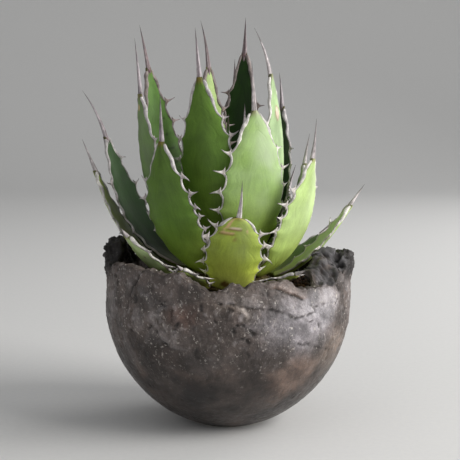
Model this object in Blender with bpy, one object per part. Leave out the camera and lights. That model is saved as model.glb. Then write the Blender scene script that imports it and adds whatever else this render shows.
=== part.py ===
"""Potted agave: a rough hand-built bowl, its potting mix and one rosette of spined leaves.

Units are metres and +Z is up. The bowl stands on z = 0 with its middle on the Z axis, and its
front faces -Y. Azimuths are in degrees from +X towards +Y, so 270 is the front. The plant is
built up from the bowl: mesh over the drain holes, grit, potting mix, rooted stem, then leaves
from the oldest and lowest to the bud in the middle.
"""

import math
from dataclasses import dataclass, replace

import bmesh
import bpy
from mathutils import Vector, noise
from mathutils.bvhtree import BVHTree

MM = 0.001

# Bowl
BOWL_DIAMETER = 130 * MM
BOWL_HEIGHT = 83 * MM
BOWL_WALL = 5.5 * MM
FOOT_DIAMETER = 37 * MM
FLOOR_THICKNESS = 6.5 * MM
RIM_LEAN = 1.2 * MM  # how far the wall comes in between its widest line and the rim
BELLY_DRAW_IN = 1.0 * MM  # how far the lower wall lies inside a true ball
TEAR_ANGLE = 7.0  # degrees over which the rim steps from one height to the next
WALL_WAVE = 0.7 * MM  # hand-built unevenness of the outer wall
DRAIN_HOLE = 4.6 * MM
DRAIN_HOLES = 3
DRAIN_CIRCLE = 12 * MM  # radius of the ring that the drain holes sit on
SEGMENTS = 60  # flats around the bowl and around what fills it
INSIDE_LEVELS = 6  # flats up the inside of the bowl

# Fill
FIT_GAP = 0.3 * MM  # left between any two pieces that touch
SOIL_BELOW_RIM = 10 * MM
SOIL_BUMP = 1.2 * MM
GRIT_DEPTH = 12 * MM
MESH_THICKNESS = 0.8 * MM
MESH_DIAMETER = 34 * MM

# Stem and roots
STEM_FOOT_RADIUS = 25.5 * MM
STEM_TOP_RADIUS = 2.2 * MM
STEM_HEIGHT = 19 * MM
ROOT_RADIUS = 19 * MM
ROOT_DEPTH = 24 * MM

# Leaves
LEAF_SCALE = 1.0  # length and width of every leaf together
LEAF_PLUMPNESS = 0.125  # thickness along the middle, as a share of the leaf's width
PLANNED_PLUMPNESS = 0.125  # plumpness that the foot radii in the leaf plans leave room for
RIM_CLEARANCE = 0.3 * MM  # height over the rim and distance inside the wall that a leaf keeps
MOST_STOOD_UP = 40  # most whole degrees that a leaf is stood up to clear what is around it
LEAF_EDGE_OUT = 0.68  # share of the thickness outside the channel line
LEAF_CLEARANCE = 0.9 * MM  # height of a leaf's foot over the stem's flank
LARGEST_FOOT = 0.7  # half of a leaf's foot, as a share of its distance from the axis
TOOTH = 2.3 * MM
SPINE_RADIUS = 1.15 * MM
BLADE_STATIONS = 12
STRAIGHTENING = 2.2  # how soon a leaf turns from its lean at the stem to its lean at the tip


@dataclass(frozen=True)
class RimChange:
    """One stretch of the torn rim that stands over or under the rest.

    The inward size and the hump are a lump of clay on the inside of the wall, and how far it
    stands over the rim there.
    """

    azimuth: float
    half_angle: float
    rise: float
    swell: float = 0.0
    inward: float = 0.0
    hump: float = 0.0


RIM_CHANGES = (
    RimChange(167, 16, 11 * MM, 3.0 * MM),
    RimChange(189, 7, 2 * MM, 1.0 * MM),
    RimChange(225, 30, 4.5 * MM),
    RimChange(263, 9, -4 * MM),
    RimChange(277, 6, -2.5 * MM),
    RimChange(316, 18, -4.5 * MM),
    RimChange(333, 14, 0.0, 0.0, 9.5 * MM, 6.0 * MM),
    RimChange(352, 13, 6.5 * MM, 2.0 * MM),
    RimChange(26, 18, 2.5 * MM, 1.0 * MM),
    RimChange(78, 24, -2 * MM),
    RimChange(122, 18, 1.5 * MM),
)


@dataclass(frozen=True)
class LeafPlan:
    """Where one leaf stands and how it grows. Angles in degrees, lengths in millimetres.

    The taper is how soon the blade narrows towards its spine: over 1 sharply, under 1 roundly.
    """

    name: str
    azimuth: float
    foot_radius: float
    lean_at_stem: float
    lean_at_tip: float
    blade: float
    width: float
    spine: float
    sway: float = 0.0
    spine_lean: float = 0.0
    spine_sway: float = 0.0
    foot_share: float = 0.52
    taper: float = 1.2


# Oldest and lowest leaves first.
LEAF_PLANS = (
    LeafPlan("leaf_low_front_left", 243, 27.6, 78, 56, 27, 17, 5),
    LeafPlan("leaf_low_right_back", 28, 27.0, 72, 50, 38, 22, 13),
    LeafPlan("leaf_low_left_back", 134, 26.5, 72, 50, 38, 22, 13),
    LeafPlan("leaf_low_front_right", 306, 27.5, 76, 70, 32, 19, 8),
    LeafPlan("leaf_low_back", 74, 25.0, 66, 42, 46, 24, 14),
    LeafPlan("leaf_low_left_front", 214, 26.0, 76, 42, 45, 21, 6, 3),
    LeafPlan("leaf_low_right", 1, 24.2, 73, 35, 57, 24.5, 13, 1),
    LeafPlan("leaf_outer_left_back", 108, 22.5, 60, 32, 56, 26, 16),
    LeafPlan("leaf_outer_front", 274, 26.6, 39, 12, 40, 29, 19, 8, 0, -8, 0.8, 0.65),
    LeafPlan("leaf_outer_right_back", 48, 21.0, 58, 26, 50, 27, 16),
    LeafPlan("leaf_outer_left", 172, 24.0, 80, 23, 77, 21, 18),
    LeafPlan("leaf_outer_right_front", 327, 20.0, 66, 8, 70, 31, 20, 4, -8),
    LeafPlan("leaf_outer_back", 88, 18.5, 54, 24, 70, 28, 18),
    LeafPlan("leaf_outer_left_front", 227, 17.8, 70, 7, 79, 36, 24, 5),
    LeafPlan("leaf_middle_right", 4, 17.0, 58, 8, 61, 27, 16, 0, 4),
    LeafPlan("leaf_middle_left_back", 161, 20.5, 80, 12, 90, 32, 27, 13, 24, 2),
    LeafPlan("leaf_middle_front", 295, 15.5, 46, 1, 86, 35, 24, -4, 0, 0, 0.52, 1.0),
    LeafPlan("leaf_middle_right_back", 62, 15.5, 58, 13, 78, 27, 18),
    LeafPlan("leaf_middle_left", 205, 13.5, 60, 5, 98, 31, 28, 0, 2),
    LeafPlan("leaf_middle_right_high", 29, 12.9, 47, 0, 86, 29, 18, 2, -8),
    LeafPlan("leaf_middle_back", 85, 11.4, 40, 8, 94, 27, 18),
    LeafPlan("leaf_inner_left_front", 252, 10.8, 38, 6, 99, 31, 24, -3),
    LeafPlan("leaf_inner_right_front", 341, 10.5, 43, -8, 100, 28, 25, -3, -24),
    LeafPlan("leaf_inner_left", 140, 12.9, 55, 2, 112, 28, 23, 12, 4),
    LeafPlan("leaf_inner_left_back", 129, 7.6, 36, 9, 76, 15, 13),
    LeafPlan("leaf_inner_front", 300, 7.4, 25, 1, 64, 21, 16),
    LeafPlan("leaf_inner_right_back", 73, 6.7, 23, 8, 109, 24, 19, 0, -3),
    LeafPlan("leaf_heart_back", 120, 4.6, 16, 7, 98, 18, 25, 0, 0, 14),
    LeafPlan("leaf_heart_front", 225, 4.4, 10, 2, 56, 17, 15),
)


def main():
    """Build every piece, from the bowl upwards."""
    clear_scene()
    bowl = build_bowl()
    build_mesh_disc()
    build_grit()
    build_soil()
    build_stem()
    for plan in stood_clear(LEAF_PLANS):
        build_leaf(plan, leaf_material(plan))
    build_bud()
    cut_drain_holes(bowl)


# ---- the bowl's shape, which everything inside it follows ----


def bowl_radius():
    """Outside radius at the widest line."""
    return BOWL_DIAMETER / 2


def centre_height():
    """Height of the middle of the round lower part, set by how wide the flat foot is."""
    return math.sqrt(bowl_radius() ** 2 - (FOOT_DIAMETER / 2) ** 2)


def soil_height():
    """Mean height of the top of the potting mix."""
    return BOWL_HEIGHT - SOIL_BELOW_RIM


def inside_levels():
    """Heights of the rings of the bowl's inside, from its floor to the potting mix."""
    rise = soil_height() - FLOOR_THICKNESS
    return [FLOOR_THICKNESS + rise * (i / INSIDE_LEVELS) ** 1.5 for i in range(INSIDE_LEVELS + 1)]


def round_radius(z):
    """Radius at a height of the ball that the bowl's inside follows."""
    ball = bowl_radius() - BOWL_WALL
    below = max(0.0, centre_height() - z)
    return math.sqrt(max(ball**2 - below**2, 0.0))


def inner_radius(z):
    """Inside radius of the bowl at a height, on the flats between its rings."""
    levels = inside_levels()
    for low, high in zip(levels, levels[1:]):
        if z <= high:
            k = (z - low) / (high - low)
            return round_radius(low) + (round_radius(high) - round_radius(low)) * k
    return round_radius(levels[-1])


def rim_share(azimuth, change):
    """How strongly one change of the rim acts at an azimuth, from 0 to 1."""
    away = abs((azimuth - change.azimuth + 180) % 360 - 180)
    inside = min(1.0, max(0.0, (change.half_angle - away) / TEAR_ANGLE))
    return inside * inside * (3 - 2 * inside)


def rim_height(azimuth):
    """Height of the torn rim at an azimuth in degrees."""
    return BOWL_HEIGHT + sum(rim_share(azimuth, c) * c.rise for c in RIM_CHANGES)


def rim_swell(azimuth):
    """How much thicker than the wall the rim is at an azimuth in degrees."""
    return sum(rim_share(azimuth, c) * c.swell for c in RIM_CHANGES)


def rim_lump(azimuth):
    """How far the clay on the inside of the rim stands inwards, and how far over the rim."""
    inward = sum(rim_share(azimuth, c) * c.inward for c in RIM_CHANGES)
    return inward, sum(rim_share(azimuth, c) * c.hump for c in RIM_CHANGES)


def around(radius, azimuth, z):
    """The point at a radius, an azimuth in degrees and a height."""
    turn = math.radians(azimuth)
    return Vector((radius * math.cos(turn), radius * math.sin(turn), z))


def wave(point, size, seed):
    """Smooth unevenness between -1 and 1, whose bumps are about as wide as size."""
    return noise.noise(point / size + Vector((seed, seed, seed)))


# ---- mesh helpers ----


def clear_scene():
    """Remove every object that the file opened with."""
    for thing in list(bpy.data.objects):
        bpy.data.objects.remove(thing)


def material(name, colour, roughness, metallic=0.0):
    """A plain finish made from a Principled BSDF."""
    made = bpy.data.materials.new(name)
    made.use_nodes = True
    shader = made.node_tree.nodes["Principled BSDF"]
    shader.inputs["Base Color"].default_value = (*colour, 1.0)
    shader.inputs["Roughness"].default_value = roughness
    shader.inputs["Metallic"].default_value = metallic
    made.diffuse_color = (*colour, 1.0)
    return made


def add_object(name, bm, finish, smooth=True):
    """Turn a bmesh into an object with one finish and faces that look outwards."""
    bmesh.ops.recalc_face_normals(bm, faces=bm.faces)
    mesh = bpy.data.meshes.new(name)
    bm.to_mesh(mesh)
    bm.free()
    mesh.materials.append(finish)
    mesh.polygons.foreach_set("use_smooth", [smooth] * len(mesh.polygons))
    made = bpy.data.objects.new(name, mesh)
    bpy.context.scene.collection.objects.link(made)
    return made


def loft(bm, rings):
    """Join rings of points into one skin. A ring of one point closes the skin to a tip."""
    loops = [[bm.verts.new(point) for point in ring] for ring in rings]
    for low, high in zip(loops, loops[1:]):
        bridge(bm, low, high)
    for end in (loops[0], loops[-1]):
        if len(end) > 2:
            bm.faces.new(end)


def bridge(bm, low, high):
    """Faces between two neighbouring rings."""
    count = max(len(low), len(high))
    for i in range(count):
        j = (i + 1) % count
        if len(low) == 1:
            bm.faces.new((low[0], high[i], high[j]))
        elif len(high) == 1:
            bm.faces.new((low[i], low[j], high[0]))
        else:
            bm.faces.new((low[i], low[j], high[j], high[i]))


def turned(profile, segments=SEGMENTS, shift=None):
    """Rings from a profile of (radius, height) pairs. A radius of 0 makes a single point."""
    rings = []
    for radius, z in profile:
        if radius == 0:
            rings.append([Vector((0, 0, z))])
            continue
        points = [around(radius, 360 * i / segments, z) for i in range(segments)]
        rings.append([shift(point) for point in points] if shift else points)
    return rings


# ---- bowl ----


def build_bowl():
    """The bowl as fired: foot, round wall, torn rim and flat floor in one piece."""
    rings = turned([(0, 0), (FOOT_DIAMETER / 2, 0)])
    rings += [outer_ring(share) for share in (0.09, 0.2, 0.32, 0.46, 0.6, 0.74, 0.87, 1.0)]
    rings += rim_rings()
    inside = [(round_radius(z), z) for z in reversed(inside_levels())]
    rings += turned([*inside, (0, FLOOR_THICKNESS)])
    bm = bmesh.new()
    loft(bm, rings)
    finish = material("fired_clay", (0.062, 0.053, 0.050), 0.82)
    return add_object("bowl", bm, finish)


def outer_ring(share):
    """One ring of the outer wall below the widest line, by its share of the way up."""
    foot_angle = math.asin(FOOT_DIAMETER / BOWL_DIAMETER)
    angle = foot_angle + (math.pi / 2 - foot_angle) * share
    radius = bowl_radius() * math.sin(angle) - BELLY_DRAW_IN * math.sin(2 * angle)
    z = centre_height() - bowl_radius() * math.cos(angle)
    return [uneven(point, share) for point in turned([(radius, z)])[0]]


def uneven(point, share=1.0):
    """A point of the outer wall, moved in by the hand-built waves."""
    middle = Vector((0, 0, centre_height()))
    outward = (point - middle).normalized()
    depth = (wave(point, 22 * MM, 4.0) - 1) / 2 * WALL_WAVE * min(1, share * 3)
    return point + outward * depth


def rim_rings():
    """The wall from its widest line over the torn rim to just above the potting mix."""
    steps = [(0.45, 0.25, 0), (0.85, 0.75, 0), (1.0, 1.0, 0.28), (1.0, 1.0, 0.72), (0.8, 1.0, 1)]
    rings = []
    for up, lean, inward in steps:
        ring = []
        for i in range(SEGMENTS):
            azimuth = 360 * i / SEGMENTS
            top = rim_height(azimuth) + 0.9 * MM * wave(around(30 * MM, azimuth, 0), 4 * MM, 9.0)
            low = centre_height() if inward < 1 else soil_height()
            z = low + (top - low) * up
            lump, hump = rim_lump(azimuth)
            wall = BOWL_WALL + rim_swell(azimuth) * up + lump * max(0.0, inward - 0.28)
            z += hump * max(0.0, inward - 0.28)
            radius = bowl_radius() - RIM_LEAN * lean + rim_swell(azimuth) * 0.6 * up - wall * inward
            ring.append(uneven(around(radius, azimuth, z)) if inward < 0.5 else around(radius, azimuth, z))
        rings.append(ring)
    return rings


def cut_drain_holes(bowl):
    """Cut the drain holes through the floor, clear of the middle of the foot."""
    bm = bmesh.new()
    for i in range(DRAIN_HOLES):
        middle = around(DRAIN_CIRCLE, 90 + 360 * i / DRAIN_HOLES, FLOOR_THICKNESS / 2)
        made = bmesh.ops.create_cone(
            bm,
            cap_ends=True,
            segments=16,
            radius1=DRAIN_HOLE / 2,
            radius2=DRAIN_HOLE / 2,
            depth=FLOOR_THICKNESS * 3,
        )
        bmesh.ops.translate(bm, verts=made["verts"], vec=middle)
    cutter = add_object("drain_cutter", bm, material("cutter", (0.5, 0.5, 0.5), 0.5), smooth=False)
    cutter.hide_render = True
    cutter.display_type = "WIRE"
    cut = bowl.modifiers.new("drain_holes", "BOOLEAN")
    cut.operation = "DIFFERENCE"
    cut.solver = "EXACT"
    cut.object = cutter


# ---- what fills the bowl ----


def build_mesh_disc():
    """The disc of plastic mesh that keeps the grit off the drain holes."""
    low = FLOOR_THICKNESS + FIT_GAP
    radius = MESH_DIAMETER / 2
    bm = bmesh.new()
    loft(bm, turned([(radius, low), (radius, low + MESH_THICKNESS)], 32))
    add_object("drain_mesh", bm, material("mesh_plastic", (0.02, 0.02, 0.02), 0.6), smooth=False)


def grit_floor():
    """Height of the underside of the grit, which lies on the mesh disc."""
    return FLOOR_THICKNESS + FIT_GAP + MESH_THICKNESS + FIT_GAP


def fill_profile(low, high):
    """Outside of a fill between two heights, one gap clear of the bowl's inside."""
    heights = [low, *(z for z in inside_levels() if low < z < high), high]
    return [(inner_radius(z) - 2 * FIT_GAP, z) for z in heights]


def build_grit():
    """The layer of coarse grit under the potting mix."""
    low = grit_floor()
    profile = [(0, low), *fill_profile(low, low + GRIT_DEPTH), (0, low + GRIT_DEPTH)]
    bm = bmesh.new()
    loft(bm, turned(profile))
    add_object("drainage_grit", bm, material("grit", (0.30, 0.27, 0.22), 0.9))


def build_soil():
    """The potting mix, with the pit that the roots fill."""
    low = grit_floor() + GRIT_DEPTH + FIT_GAP
    high = soil_height()
    pit_radius = ROOT_RADIUS + FIT_GAP
    pit_depth = ROOT_DEPTH + FIT_GAP
    profile = [(0, low), *fill_profile(low, high)]
    edge = profile[-1][0]
    profile += [(pit_radius + (edge - pit_radius) * k, high) for k in (0.8, 0.55, 0.3, 0.1)]
    profile += [(pit_radius, high - 2 * FIT_GAP), (pit_radius, high - pit_depth * 0.7)]
    profile += [(pit_radius * 0.7, high - pit_depth), (0, high - pit_depth)]
    bm = bmesh.new()
    loft(bm, turned(profile, shift=lump_of_soil))
    add_object("potting_mix", bm, material("potting_mix", (0.040, 0.032, 0.026), 0.95))


def lump_of_soil(point):
    """Lower a point of the top of the potting mix by an uneven amount."""
    if point.z < soil_height() - FIT_GAP:
        return point
    return point + Vector((0, 0, (wave(point, 9 * MM, 2.0) - 1) / 2 * SOIL_BUMP))


def stem_base():
    """Height at which the stem's flare starts, one gap above the potting mix."""
    return soil_height() + FIT_GAP


def spread():
    """How much farther apart than in their plans larger or plumper leaves stand."""
    return LEAF_SCALE * LEAF_PLUMPNESS / PLANNED_PLUMPNESS


def stem_foot_radius():
    """Radius of the stem's flare, which carries the feet of the lowest leaves."""
    return STEM_FOOT_RADIUS * spread()


def stem_top_radius():
    """Radius of the top of the stem, inside the feet of the youngest leaves."""
    return STEM_TOP_RADIUS * spread()


def stem_height():
    """Height of the stem over the potting mix, which spaces the leaves' feet."""
    return STEM_HEIGHT * spread()


def build_stem():
    """The short stem that the leaves stand on, in one piece with its roots."""
    base = stem_base()
    root = ROOT_RADIUS
    profile = [(0, base - ROOT_DEPTH + FIT_GAP)]
    profile += [(root * 0.68, base - ROOT_DEPTH + FIT_GAP), (root, base - ROOT_DEPTH * 0.7 + FIT_GAP)]
    foot, top = stem_foot_radius(), base + stem_height()
    profile += [(root, base), (foot - 0.8 * MM, base), (foot, base + 0.6 * MM)]
    profile += [(stem_top_radius(), top), (0, top + 0.5 * MM)]
    bm = bmesh.new()
    loft(bm, turned(profile, 40))
    add_object("stem_and_roots", bm, material("stem", (0.36, 0.33, 0.20), 0.7))


# ---- leaves ----


def foot_radius(plan):
    """Distance of a leaf's foot from the axis."""
    return plan.foot_radius * MM * spread()


def foot_height(plan):
    """Height at which the foot of a leaf clears the stem's flank and the potting mix."""
    slope = stem_height() / (stem_foot_radius() - stem_top_radius())
    flank = max(0.0, stem_foot_radius() - foot_radius(plan)) * slope
    under = thickness(plan, 0) * LEAF_EDGE_OUT * math.sin(math.radians(plan.lean_at_stem))
    return stem_base() + LEAF_CLEARANCE * spread() + flank + under


def half_width(plan, share):
    """Half of the blade's width at a share of its length, without teeth."""
    widest = 0.44
    full = plan.width / 2 * MM * LEAF_SCALE
    if share < widest:
        k = share / widest
        foot = min(full * plan.foot_share, foot_radius(plan) * LARGEST_FOOT)
        return foot + (full - foot) * k * k * (3 - 2 * k)
    k = (share - widest) / (1 - widest)
    tip = spine_radius() * 1.25
    return tip + (full - tip) * (1 - k * k) ** plan.taper


def thickness(plan, share):
    """Thickness along the middle of the blade at a share of its length."""
    plump = plan.width * MM * LEAF_SCALE * LEAF_PLUMPNESS
    return plump + (spine_radius() * 2 - plump) * share**1.6


def spine_radius():
    """Radius of the foot of an end spine, which grows with its leaf."""
    return SPINE_RADIUS * LEAF_SCALE


def growth_line(plan):
    """Points along the middle of a blade and the direction it grows in at each."""
    out, side = around(1, plan.azimuth, 0), around(1, plan.azimuth + 90, 0)
    point = out * foot_radius(plan) + Vector((0, 0, foot_height(plan)))
    step = plan.blade * MM * LEAF_SCALE / (BLADE_STATIONS - 1)
    line = []
    before = None
    for i in range(BLADE_STATIONS):
        share = i / (BLADE_STATIONS - 1)
        bend = (plan.lean_at_stem - plan.lean_at_tip) * (1 - share) ** STRAIGHTENING
        lean = math.radians(plan.lean_at_tip + bend)
        sway = math.radians(plan.sway * share)
        upward = Vector((0, 0, 1)) * math.cos(sway) + side * math.sin(sway)
        way = out * math.sin(lean) + upward * math.cos(lean)
        if before:
            point = point + (before + way) * step / 2
        line.append((point.copy(), way))
        before = way
    return line


def leaf_ring(plan, point, way, share, tooth):
    """The outline across a blade: a channel, thick in the middle and thin at its edges."""
    side = around(1, plan.azimuth + 90, 0)
    side = (side - way * side.dot(way)).normalized()
    out = side.cross(way)
    half = half_width(plan, share) + tooth
    reach = Vector((point.x, point.y, 0)).length
    curve = max(reach * (1 + 0.5 * share), half * 0.75) / max(0.4, out.length)
    thick = thickness(plan, share)
    ring = []
    for across, skin in ((-1, 0), (-0.55, 1), (0, 1), (0.55, 1), (1, 0), (0.55, -1), (0, -1), (-0.55, -1)):
        angle = across * half / curve
        place = point + side * curve * math.sin(angle) - out * curve * (1 - math.cos(angle))
        normal = out * math.cos(angle) + side * math.sin(angle)
        depth = thick * math.sqrt(max(0.0, 1 - across * across))
        if skin > 0:
            place += normal * depth * LEAF_EDGE_OUT
        elif skin < 0:
            place -= normal * depth * (1 - LEAF_EDGE_OUT)
        ring.append(place)
    return ring


def spine_rings(plan, point, way):
    """The end spine, which narrows from the blade's tip to a point."""
    out, side = around(1, plan.azimuth, 0), around(1, plan.azimuth + 90, 0)
    lean, sway = math.radians(plan.spine_lean), math.radians(plan.spine_sway)
    end_way = (way + out * math.tan(lean) + side * math.tan(sway)).normalized()
    rings = []
    for share, size in ((0.3, 0.8), (0.65, 0.5), (1.0, 0)):
        course = (way * (1 - share / 2) + end_way * share / 2).normalized()
        middle = point + course * plan.spine * MM * LEAF_SCALE * share
        if size == 0:
            rings.append([middle])
            continue
        across = (side - way * side.dot(way)).normalized()
        over = across.cross(way)
        radius = spine_radius() * size
        turns = [math.pi + math.pi * i / 4 for i in range(8)]
        rings.append([middle + (across * math.cos(t) - over * math.sin(t)) * radius for t in turns])
    return rings


def leaf_rings(plan):
    """Outlines across one leaf, from its foot to the point of its spine."""
    rings = []
    line = growth_line(plan)
    for i, (point, way) in enumerate(line):
        share = i / (BLADE_STATIONS - 1)
        toothed = i % 2 == 0 and 1 < i < BLADE_STATIONS - 2
        rings.append(leaf_ring(plan, point, way, share, TOOTH * LEAF_SCALE if toothed else 0.0))
    return rings + spine_rings(plan, *line[-1])


def clears_bowl(plan):
    """True if every point of a leaf is inside the wall or over the rim."""
    for point in (point for ring in leaf_rings(plan) for point in ring):
        azimuth = math.degrees(math.atan2(point.y, point.x))
        inside = bowl_radius() - RIM_LEAN - BOWL_WALL - rim_swell(azimuth) * 0.4
        low = point.z < rim_height(azimuth) + RIM_CLEARANCE
        if low and math.hypot(point.x, point.y) > inside - RIM_CLEARANCE:
            return False
    return True


def leaf_body(plan):
    """The mesh of one leaf: a channelled blade with toothed edges, in one piece with its end spine."""
    bm = bmesh.new()
    loft(bm, leaf_rings(plan))
    return bm


def leaf_tree(plan):
    """The faces of a leaf, to find whether it meets another."""
    bm = leaf_body(plan)
    tree = BVHTree.FromBMesh(bm)
    bm.free()
    return tree


def stood_clear(plans):
    """The plans, with each leaf stood up by whole degrees until it clears the bowl and older leaves."""
    clear, trees = [], []
    for first in plans:
        for degrees in range(MOST_STOOD_UP + 1):
            lower, upper = first.lean_at_stem - degrees, first.lean_at_tip - degrees
            plan = replace(first, lean_at_stem=lower, lean_at_tip=upper)
            tree = leaf_tree(plan)
            if clears_bowl(plan) and not any(tree.overlap(older) for older in trees):
                break
        clear.append(plan)
        trees.append(tree)
    return clear


def build_leaf(plan, finish):
    """One leaf, where its plan puts it."""
    return add_object(plan.name, leaf_body(plan), finish)


def leaf_material(plan):
    """The green of one leaf: bright in front and in the sun, duller and bluer at the back."""
    shade = 0.5 + 0.5 * math.cos(math.radians(plan.azimuth - 320))
    dull, bright = Vector((0.085, 0.115, 0.060)), Vector((0.33, 0.46, 0.13))
    colour = dull.lerp(bright, shade)
    return material(f"green_of_{plan.name}", tuple(colour), 0.42)


def build_bud():
    """The rolled young leaf in the middle of the rosette."""
    base = stem_base() + stem_height() + 0.5 * MM + FIT_GAP
    height = 70 * MM * LEAF_SCALE
    outline = ((0.0, 1.6), (0.12, 2.2), (0.35, 2.6), (0.6, 2.1), (0.8, 1.2), (0.92, 0.5))
    profile = [(radius * MM * LEAF_SCALE, base + height * share) for share, radius in outline]
    bm = bmesh.new()
    loft(bm, turned([*profile, (0, base + height)], 12))
    add_object("leaf_bud", bm, material("green_of_bud", (0.30, 0.42, 0.16), 0.45))


main()
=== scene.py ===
"""Potted agave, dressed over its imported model: rough fired bowl, potting mix and one spined rosette.

Units are metres and +Z is up. Azimuths are in degrees from +X towards +Y, so 270 is the front.
"""

import logging
import math
from dataclasses import dataclass
from enum import Enum

import bpy
import numpy as np
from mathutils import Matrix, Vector


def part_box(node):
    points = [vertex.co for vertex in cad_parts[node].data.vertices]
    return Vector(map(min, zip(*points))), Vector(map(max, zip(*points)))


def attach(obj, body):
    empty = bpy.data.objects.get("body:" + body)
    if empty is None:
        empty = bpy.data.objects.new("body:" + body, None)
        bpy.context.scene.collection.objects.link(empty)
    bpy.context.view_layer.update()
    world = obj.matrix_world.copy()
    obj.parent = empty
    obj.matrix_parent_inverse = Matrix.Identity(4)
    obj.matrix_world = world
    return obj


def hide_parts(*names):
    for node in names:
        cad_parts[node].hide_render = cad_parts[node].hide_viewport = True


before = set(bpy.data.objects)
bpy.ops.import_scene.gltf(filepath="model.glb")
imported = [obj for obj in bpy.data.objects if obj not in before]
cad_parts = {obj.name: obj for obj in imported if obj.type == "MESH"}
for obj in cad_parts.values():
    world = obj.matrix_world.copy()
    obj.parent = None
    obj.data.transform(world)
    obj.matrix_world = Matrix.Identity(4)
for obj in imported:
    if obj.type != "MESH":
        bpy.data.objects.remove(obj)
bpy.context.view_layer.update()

MM = 0.001
BODY = "root"
UP = np.array([0, 0, 1.0])
Array = np.ndarray
Colour = tuple[float, float, float]
Spot = tuple[float, float, float]

log = logging.getLogger("potted_agave")


# ---- small sums that every piece uses ----


def paint(red: float, green: float, blue: float) -> Colour:
    """A colour as a shader wants it, from the 0 to 255 values of a paint chart."""
    return tuple((value / 255) ** 2.2 for value in (red, green, blue))


def step(low: float, high: float, value: Array) -> Array:
    """A smooth rise from 0 at low to 1 at high."""
    k = np.clip((np.asarray(value, float) - low) / (high - low), 0, 1)
    return k * k * (3 - 2 * k)


def tint(base: Array, colour: Colour | Array, share: Array) -> Array:
    """Colours moved towards one colour by a share at each point."""
    share = np.clip(share, 0, 1)[..., None]
    return base * (1 - share) + np.asarray(colour) * share


def lattice(cells: Array, seed: int) -> Array:
    """A fixed random-looking value from -1 to 1 for each whole-number cell."""
    x, y, z = (cells[:, i].astype(np.int64) for i in range(3))
    mixed = (x * 73856093) ^ (y * 19349663) ^ (z * 83492791) ^ (seed * 40503177)
    mixed = (mixed ^ (mixed >> 15)) * 668265263
    mixed = (mixed ^ (mixed >> 13)) & 0xFFFFFF
    return mixed / 0xFFFFFF * 2 - 1


def waves(points: Array, size: float, seed: int, octaves: int = 1) -> Array:
    """Smooth unevenness from about -1 to 1.

    Args:
        points: Places, as rows of x, y and z.
        size: Width of the largest bumps, in the units of points.
        seed: Chooses one pattern.
        octaves: How many ever finer layers are added up.

    Returns:
        One value for each row.
    """
    total = np.zeros(len(points))
    share, weight = 1.0, 0.0
    for octave in range(octaves):
        place = points / size * 2**octave + seed * 7.31
        base = np.floor(place)
        part = place - base
        part = part * part * (3 - 2 * part)
        for corner in range(8):
            side = np.array([(corner >> k) & 1 for k in range(3)])
            near = np.prod(np.where(side == 1, part, 1 - part), axis=1)
            total += near * lattice(base + side, seed + octave * 101) * share
        weight += share
        share *= 0.55
    return total / weight * 1.4


def ring_at(azimuth: Array) -> Array:
    """Unit vectors that point away from the axis at azimuths in degrees."""
    turn = np.radians(np.asarray(azimuth, float))
    return np.stack([np.cos(turn), np.sin(turn), np.zeros_like(turn)], -1)


def turn_from(azimuth: Array, other: float) -> Array:
    """How far azimuths are from another one, from -180 to 180 degrees."""
    return (azimuth - other + 180) % 360 - 180


def unit(vectors: Array) -> Array:
    """The same vectors with length 1."""
    return vectors / np.maximum(np.linalg.norm(vectors, axis=-1, keepdims=True), 1e-12)


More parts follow.
